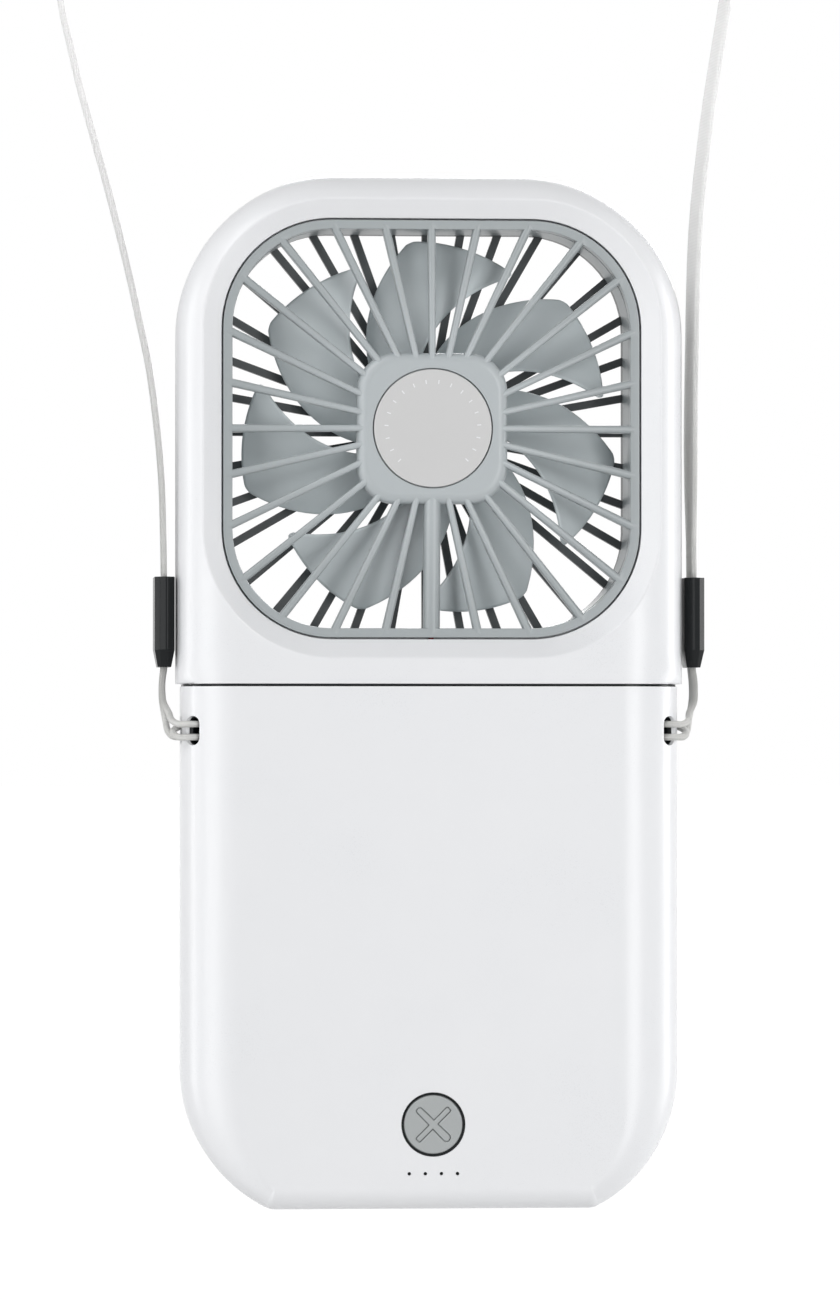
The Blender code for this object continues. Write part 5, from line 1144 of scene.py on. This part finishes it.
class Graph:
    def __init__(self, tree):
        self.tree = tree

    def feed(self, socket, value):
        if isinstance(value, Wire):
            self.tree.links.new(value.socket, socket)
        elif isinstance(value, tuple) and len(value) == 3 and socket.type == "RGBA":
            socket.default_value = (*value, 1.0)
        else:
            socket.default_value = value

    def node(self, kind, sockets, out=0, **settings):
        made = self.tree.nodes.new(kind)
        for name, value in settings.items():
            setattr(made, name, value)
        for name, value in sockets.items():
            self.feed(made.inputs[name], value)
        return Wire(self, made.outputs[out])

    def spot(self, kind="Object"):
        return self.node("ShaderNodeTexCoord", {}, kind)

    def split(self, place):
        across = self.node("ShaderNodeSeparateXYZ", {0: place})
        return across, across.out("Y"), across.out("Z")

    def ramp(self, value, start, end, top=1.0):
        return self.node("ShaderNodeMapRange", {"Value": value, "From Min": start, "From Max": end,
                                                "To Max": top})

    def rise(self, low, high, top=1.0):
        # from 0 to the top value between two heights in millimetres
        return self.ramp(self.split(self.spot())[2], at(0, 0, low).z, at(0, 0, high).z, top)

    def noise(self, size, detail=2.0, where=None):
        # size is the width of one blotch in millimetres
        return self.node("ShaderNodeTexNoise", {"Vector": where or self.spot(), "Scale": 1 / (size * mm),
                                                "Detail": detail})

    def mix(self, share, first, second):
        return self.node("ShaderNodeMix", {0: share, 6: first, 7: second}, 2, data_type="RGBA")

    def bump(self, height, strength, rise):
        return self.node("ShaderNodeBump", {"Height": height, "Strength": strength, "Distance": rise * mm})

    def shown(self):
        # 1 for rays that see the background: straight, mirrored or through something clear
        rays = self.node("ShaderNodeLightPath", {}, "Is Camera Ray")
        return rays.larger(rays.out("Is Glossy Ray").larger(rays.out("Is Transmission Ray")))


class Surface(Graph):
    def __init__(self, name, **fixed):
        self.material = bpy.data.materials.new(name)
        self.material.use_nodes = True
        super().__init__(self.material.node_tree)
        self.shader = self.tree.nodes["Principled BSDF"]
        self.set(**fixed)

    def set(self, **links):
        for socket, value in links.items():
            self.feed(self.shader.inputs[socket.replace("_", " ")], value)


# hub and frame are the front grille's tones: the darker frame tone is painted shade of the recess
moulding = {
    "hub": (0.44, 0.475, 0.49), "frame": (0.345, 0.375, 0.385), "near": 12.0, "far": 29.0, "cloud": 14.0,
    "cloudGloss": 0.06, "grainGloss": 0.12, "grainRise": 0.01, "coatRoughness": 0.12,
}


def plastic(name, colour, shade, roughness, grain=0.25, grainSize=0.16, coat=0.0, mirror=0.5):
    # a moulding with a faint cloudiness, a fine even grain and a little change of gloss
    made = Surface(name, Coat_Weight=coat, Coat_Roughness=moulding["coatRoughness"],
                   Specular_IOR_Level=mirror)
    cloud, fine = made.noise(moulding["cloud"], 3.0), made.noise(grainSize)
    gloss = roughness + (fine - 0.5) * moulding["grainGloss"] + (cloud - 0.5) * moulding["cloudGloss"]
    made.set(Base_Color=made.mix(cloud, colour, shade), Normal=made.bump(fine, grain, moulding["grainRise"]),
             Roughness=gloss)
    return made


def grillePlastic():
    # the front grille's moulding, painted darker from the hub out to the frame as painted shade of the recess
    # it sits in
    hub, frame = moulding["hub"], moulding["frame"]
    made = plastic("grilleGrey", hub, hub, 0.36, 0.3)
    flat, drop = (1.0, 0.0, 1.0), (0.0, 0.0, -at(0, 0, fanHeight).z)
    centre = made.node("ShaderNodeVectorMath", {0: made.spot(), 1: flat, 2: drop}, operation="MULTIPLY_ADD")
    reach = made.node("ShaderNodeVectorMath", {0: centre}, "Value", operation="LENGTH")
    # painted shade: the share of the darker frame tone grows from near to far from the fan's axis
    recessShade = made.ramp(reach, moulding["near"] * mm, moulding["far"] * mm)
    cloud = made.noise(moulding["cloud"], 3.0) * 0.06 + 0.97
    made.set(Base_Color=made.mix(recessShade * cloud, hub, frame))
    return made


def metal(name, colour, roughness, streak=0.3):
    made = Surface(name, Metallic=1.0)
    stretched = made.node("ShaderNodeMapping", {"Vector": made.spot(), "Scale": (1.0, 0.12, 1.0)})
    lines = made.noise(0.12, 3.0, stretched)
    dark = tuple(part * 0.72 for part in colour)
    made.set(Base_Color=made.mix(lines, dark, colour), Roughness=roughness + (lines - 0.5) * streak,
             Normal=made.bump(lines, 0.2, 0.005))
    return made


# near is the strap's painted shade by the clips and far its paler tone above; the cord's grey share higher up
# is painted shade too
weave = {
    "near": (0.42, 0.42, 0.41), "far": (0.72, 0.72, 0.715), "groove": (0.32, 0.32, 0.31), "shadeLow": 108.0,
    "shadeHigh": 168.0, "threads": 18, "pitch": 0.5, "glow": 4.0, "cordColour": (0.74, 0.74, 0.72),
    "cordGroove": (0.33, 0.33, 0.32), "plaits": 4, "plaitPitch": 1.1, "upperShadeLow": 73.4, "upperShadeHigh": 76.0,
    "upperShadeShare": 0.7,
}


def strapWeave():
    # a fine plain weave from the band's own UV map; the band is painted darker near the clips and paler above
    # them, painted shade where it hangs beside the head
    made = Surface("strapGrey", Roughness=0.7, Specular_IOR_Level=0.2, Subsurface_Weight=1.0,
                   Subsurface_Radius=(1.0, 1.0, 1.0), Subsurface_Scale=weave["glow"] * mm)
    along, across, rest = made.split(made.spot("UV"))
    along, across = along * (math.pi * strapLength / weave["pitch"]), across * (math.pi * weave["threads"])
    thread = abs(along.wave()) * 0.6 + abs(across.wave()) * 0.4
    # painted shade: the strap's colour runs from the darker near tone up to the paler far tone
    colour = made.mix(made.rise(weave["shadeLow"], weave["shadeHigh"]), weave["near"], weave["far"])
    made.set(Base_Color=made.mix(thread * 0.18 + 0.8, weave["groove"], colour),
             Normal=made.bump(thread, 0.2, 0.03))
    return made


def cordPlait():
    # a round plaited cord: two families of strands wound against each other; from just above the post up to
    # the clip it is painted greyer, painted shade
    made = Surface("cordPale", Roughness=0.65)
    turn, along, rest = made.split(made.spot("UV"))
    turn, along = turn * (math.pi * weave["plaits"]), along * (math.pi * loopLength / weave["plaitPitch"])
    strand = abs((along + turn).wave()).larger(abs((along - turn).wave()))
    # painted shade: the cord turns greyer with height above the post
    grey = made.rise(weave["upperShadeLow"], weave["upperShadeHigh"], weave["upperShadeShare"])
    made.set(Base_Color=made.mix(strand * (1 - grey), weave["cordGroove"], weave["cordColour"]),
             Normal=made.bump(strand, 0.5, 0.08))
    return made


surfaces = {
    "case_white": plastic("caseWhite", (0.795, 0.805, 0.825), (0.82, 0.825, 0.84), 0.3, 0.2),
    "grille_grey": grillePlastic(),
    "grille_dark": plastic("grilleDark", (0.040, 0.047, 0.050), (0.050, 0.058, 0.062), 0.4, 0.3),
    "blade_grey": plastic("bladeGrey", (0.55, 0.60, 0.615), (0.575, 0.62, 0.635), 0.4, 0.3),
    "cap_grey": plastic("capGrey", (0.585, 0.585, 0.585), (0.595, 0.595, 0.595), 0.42, 0.3),
    "button_grey": plastic("buttonGrey", (0.365, 0.385, 0.387), (0.38, 0.40, 0.402), 0.42, 0.3),
    "clip_black": plastic("clipBlack", (0.005, 0.006, 0.007), (0.008, 0.010, 0.011), 0.25, 0.2, mirror=0.18),
    "strap_grey": strapWeave(),
    "cord_pale": cordPlait(),
    "steel": metal("steel", (0.60, 0.61, 0.62), 0.3),
    "brass": metal("bronze", (0.62, 0.43, 0.20), 0.42),
    "copper": metal("copper", (0.62, 0.27, 0.13), 0.35),
    "magnet_black": plastic("ferrite", (0.035, 0.035, 0.04), (0.05, 0.05, 0.055), 0.6, 0.6, 0.1),
    "board_green": plastic("boardGreen", (0.012, 0.12, 0.05), (0.02, 0.17, 0.07), 0.4, 0.3),
    "cell_silver": plastic("pouch", (0.48, 0.49, 0.51), (0.55, 0.56, 0.58), 0.35, 0.5, 0.8),
    "socket_black": plastic("socketBlack", (0.015, 0.015, 0.017), (0.022, 0.022, 0.025), 0.45, 0.3),
    "light_smoked": plastic("smokedLight", (0.006, 0.007, 0.008), (0.01, 0.011, 0.012), 0.2, 0.1,
                            mirror=0.18),
    "lead_red": plastic("leadRed", (0.35, 0.02, 0.02), (0.42, 0.03, 0.03), 0.45, 0.3),
}
nodeSlots = {part["node"]: part["material_slot"] for part in frame["record"]["subparts"]}
for name, node in frame["nodes"].items():
    node.data.materials.clear()
    node.data.materials.append(surfaces[nodeSlots[name]].material)
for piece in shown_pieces():
    if "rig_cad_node" not in piece:
        piece.data.materials.clear()
        piece.data.materials.append(surfaces[piece["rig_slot"]].material)
print("surfaces made")


# Studio

studio = {
    "distance": 950.0, "lens": 176.7, "sensor": 36.0, "azimuth": -4.4, "elevation": -0.8,
    "lookAt": (-2.0, -9.5, 83.3), "floorDrop": 160.0, "floorSize": 60.0, "floorGlow": 1.15, "floorShare": 0.9,
    "worldStrength": 0.18, "lampDistance": 900.0, "lampsAim": (0.0, 0.0, 85.0),
}
# azimuth and elevation from the front in degrees, size in millimetres, power in watts
lamps = {
    "key": (-50, 45, (400, 400), 2.1), "leftStrip": (-48, 5, (420, 700), 2.2),
    "farLeft": (-90, 5, (260, 700), 2.1), "rightStrip": (25, 5, (300, 700), 3.5),
    "farRight": (92, 5, (320, 700), 3.9), "back": (165, 25, (500, 500), 5.2),
}


def away(azimuth, elevation):
    a, e = math.radians(azimuth), math.radians(elevation)
    return Vector((math.sin(a) * math.cos(e), -math.cos(a) * math.cos(e), math.sin(e)))


def aim(piece, target):
    piece.rotation_euler = (target - piece.location).to_track_quat("-Z", "Y").to_euler()


def makeCamera():
    target = at(*studio["lookAt"])
    view = bpy.data.cameras.new("view")
    view.lens = studio["lens"]
    view.sensor_width = studio["sensor"]
    view.clip_start, view.clip_end = 0.01, 50.0
    camera = bpy.data.objects.new("camera", view)
    bpy.context.scene.collection.objects.link(camera)
    camera.location = target + away(studio["azimuth"], studio["elevation"]) * studio["distance"] * mm
    aim(camera, target)
    bpy.context.scene.camera = camera


def makeLamp(name, azimuth, elevation, size, power):
    made = bpy.data.lights.new(name, "AREA")
    made.shape = "RECTANGLE"
    made.size, made.size_y = size[0] * mm, size[1] * mm
    made.energy = power
    holder = bpy.data.objects.new(name, made)
    bpy.context.scene.collection.objects.link(holder)
    target = at(*studio["lampsAim"])
    holder.location = target + away(azimuth, elevation) * studio["lampDistance"] * mm
    aim(holder, target)


def makeStudio():
    deselect()
    bpy.ops.mesh.primitive_plane_add(size=studio["floorSize"], location=at(0, 0, -studio["floorDrop"]))
    floor = newest("floor")
    pale = Surface("paleFloor", Base_Color=(0.6, 0.6, 0.6), Roughness=0.9)
    glow = pale.node("ShaderNodeEmission", {"Color": (1.0, 1.0, 1.0), "Strength": studio["floorGlow"]})
    shaded = Wire(pale, pale.shader.outputs[0])
    surface = pale.node("ShaderNodeMixShader", {0: pale.shown() * studio["floorShare"], 1: shaded, 2: glow})
    pale.feed(pale.tree.nodes["Material Output"].inputs["Surface"], surface)
    floor.data.materials.append(pale.material)
    world, strength = bpy.data.worlds.new("studio"), studio["worldStrength"]
    bpy.context.scene.world = world
    world.use_nodes = True
    sky = Graph(world.node_tree)
    background = sky.tree.nodes["Background"]
    sky.feed(background.inputs["Color"], (1.0, 1.0, 1.0))
    sky.feed(background.inputs["Strength"], sky.shown() * (1 - strength) + strength)
    for name, settings in lamps.items():
        makeLamp(name, *settings)


makeCamera()
makeStudio()
bpy.context.scene.view_settings.view_transform = "Standard"
bpy.context.view_layer.update()
print("scene made")
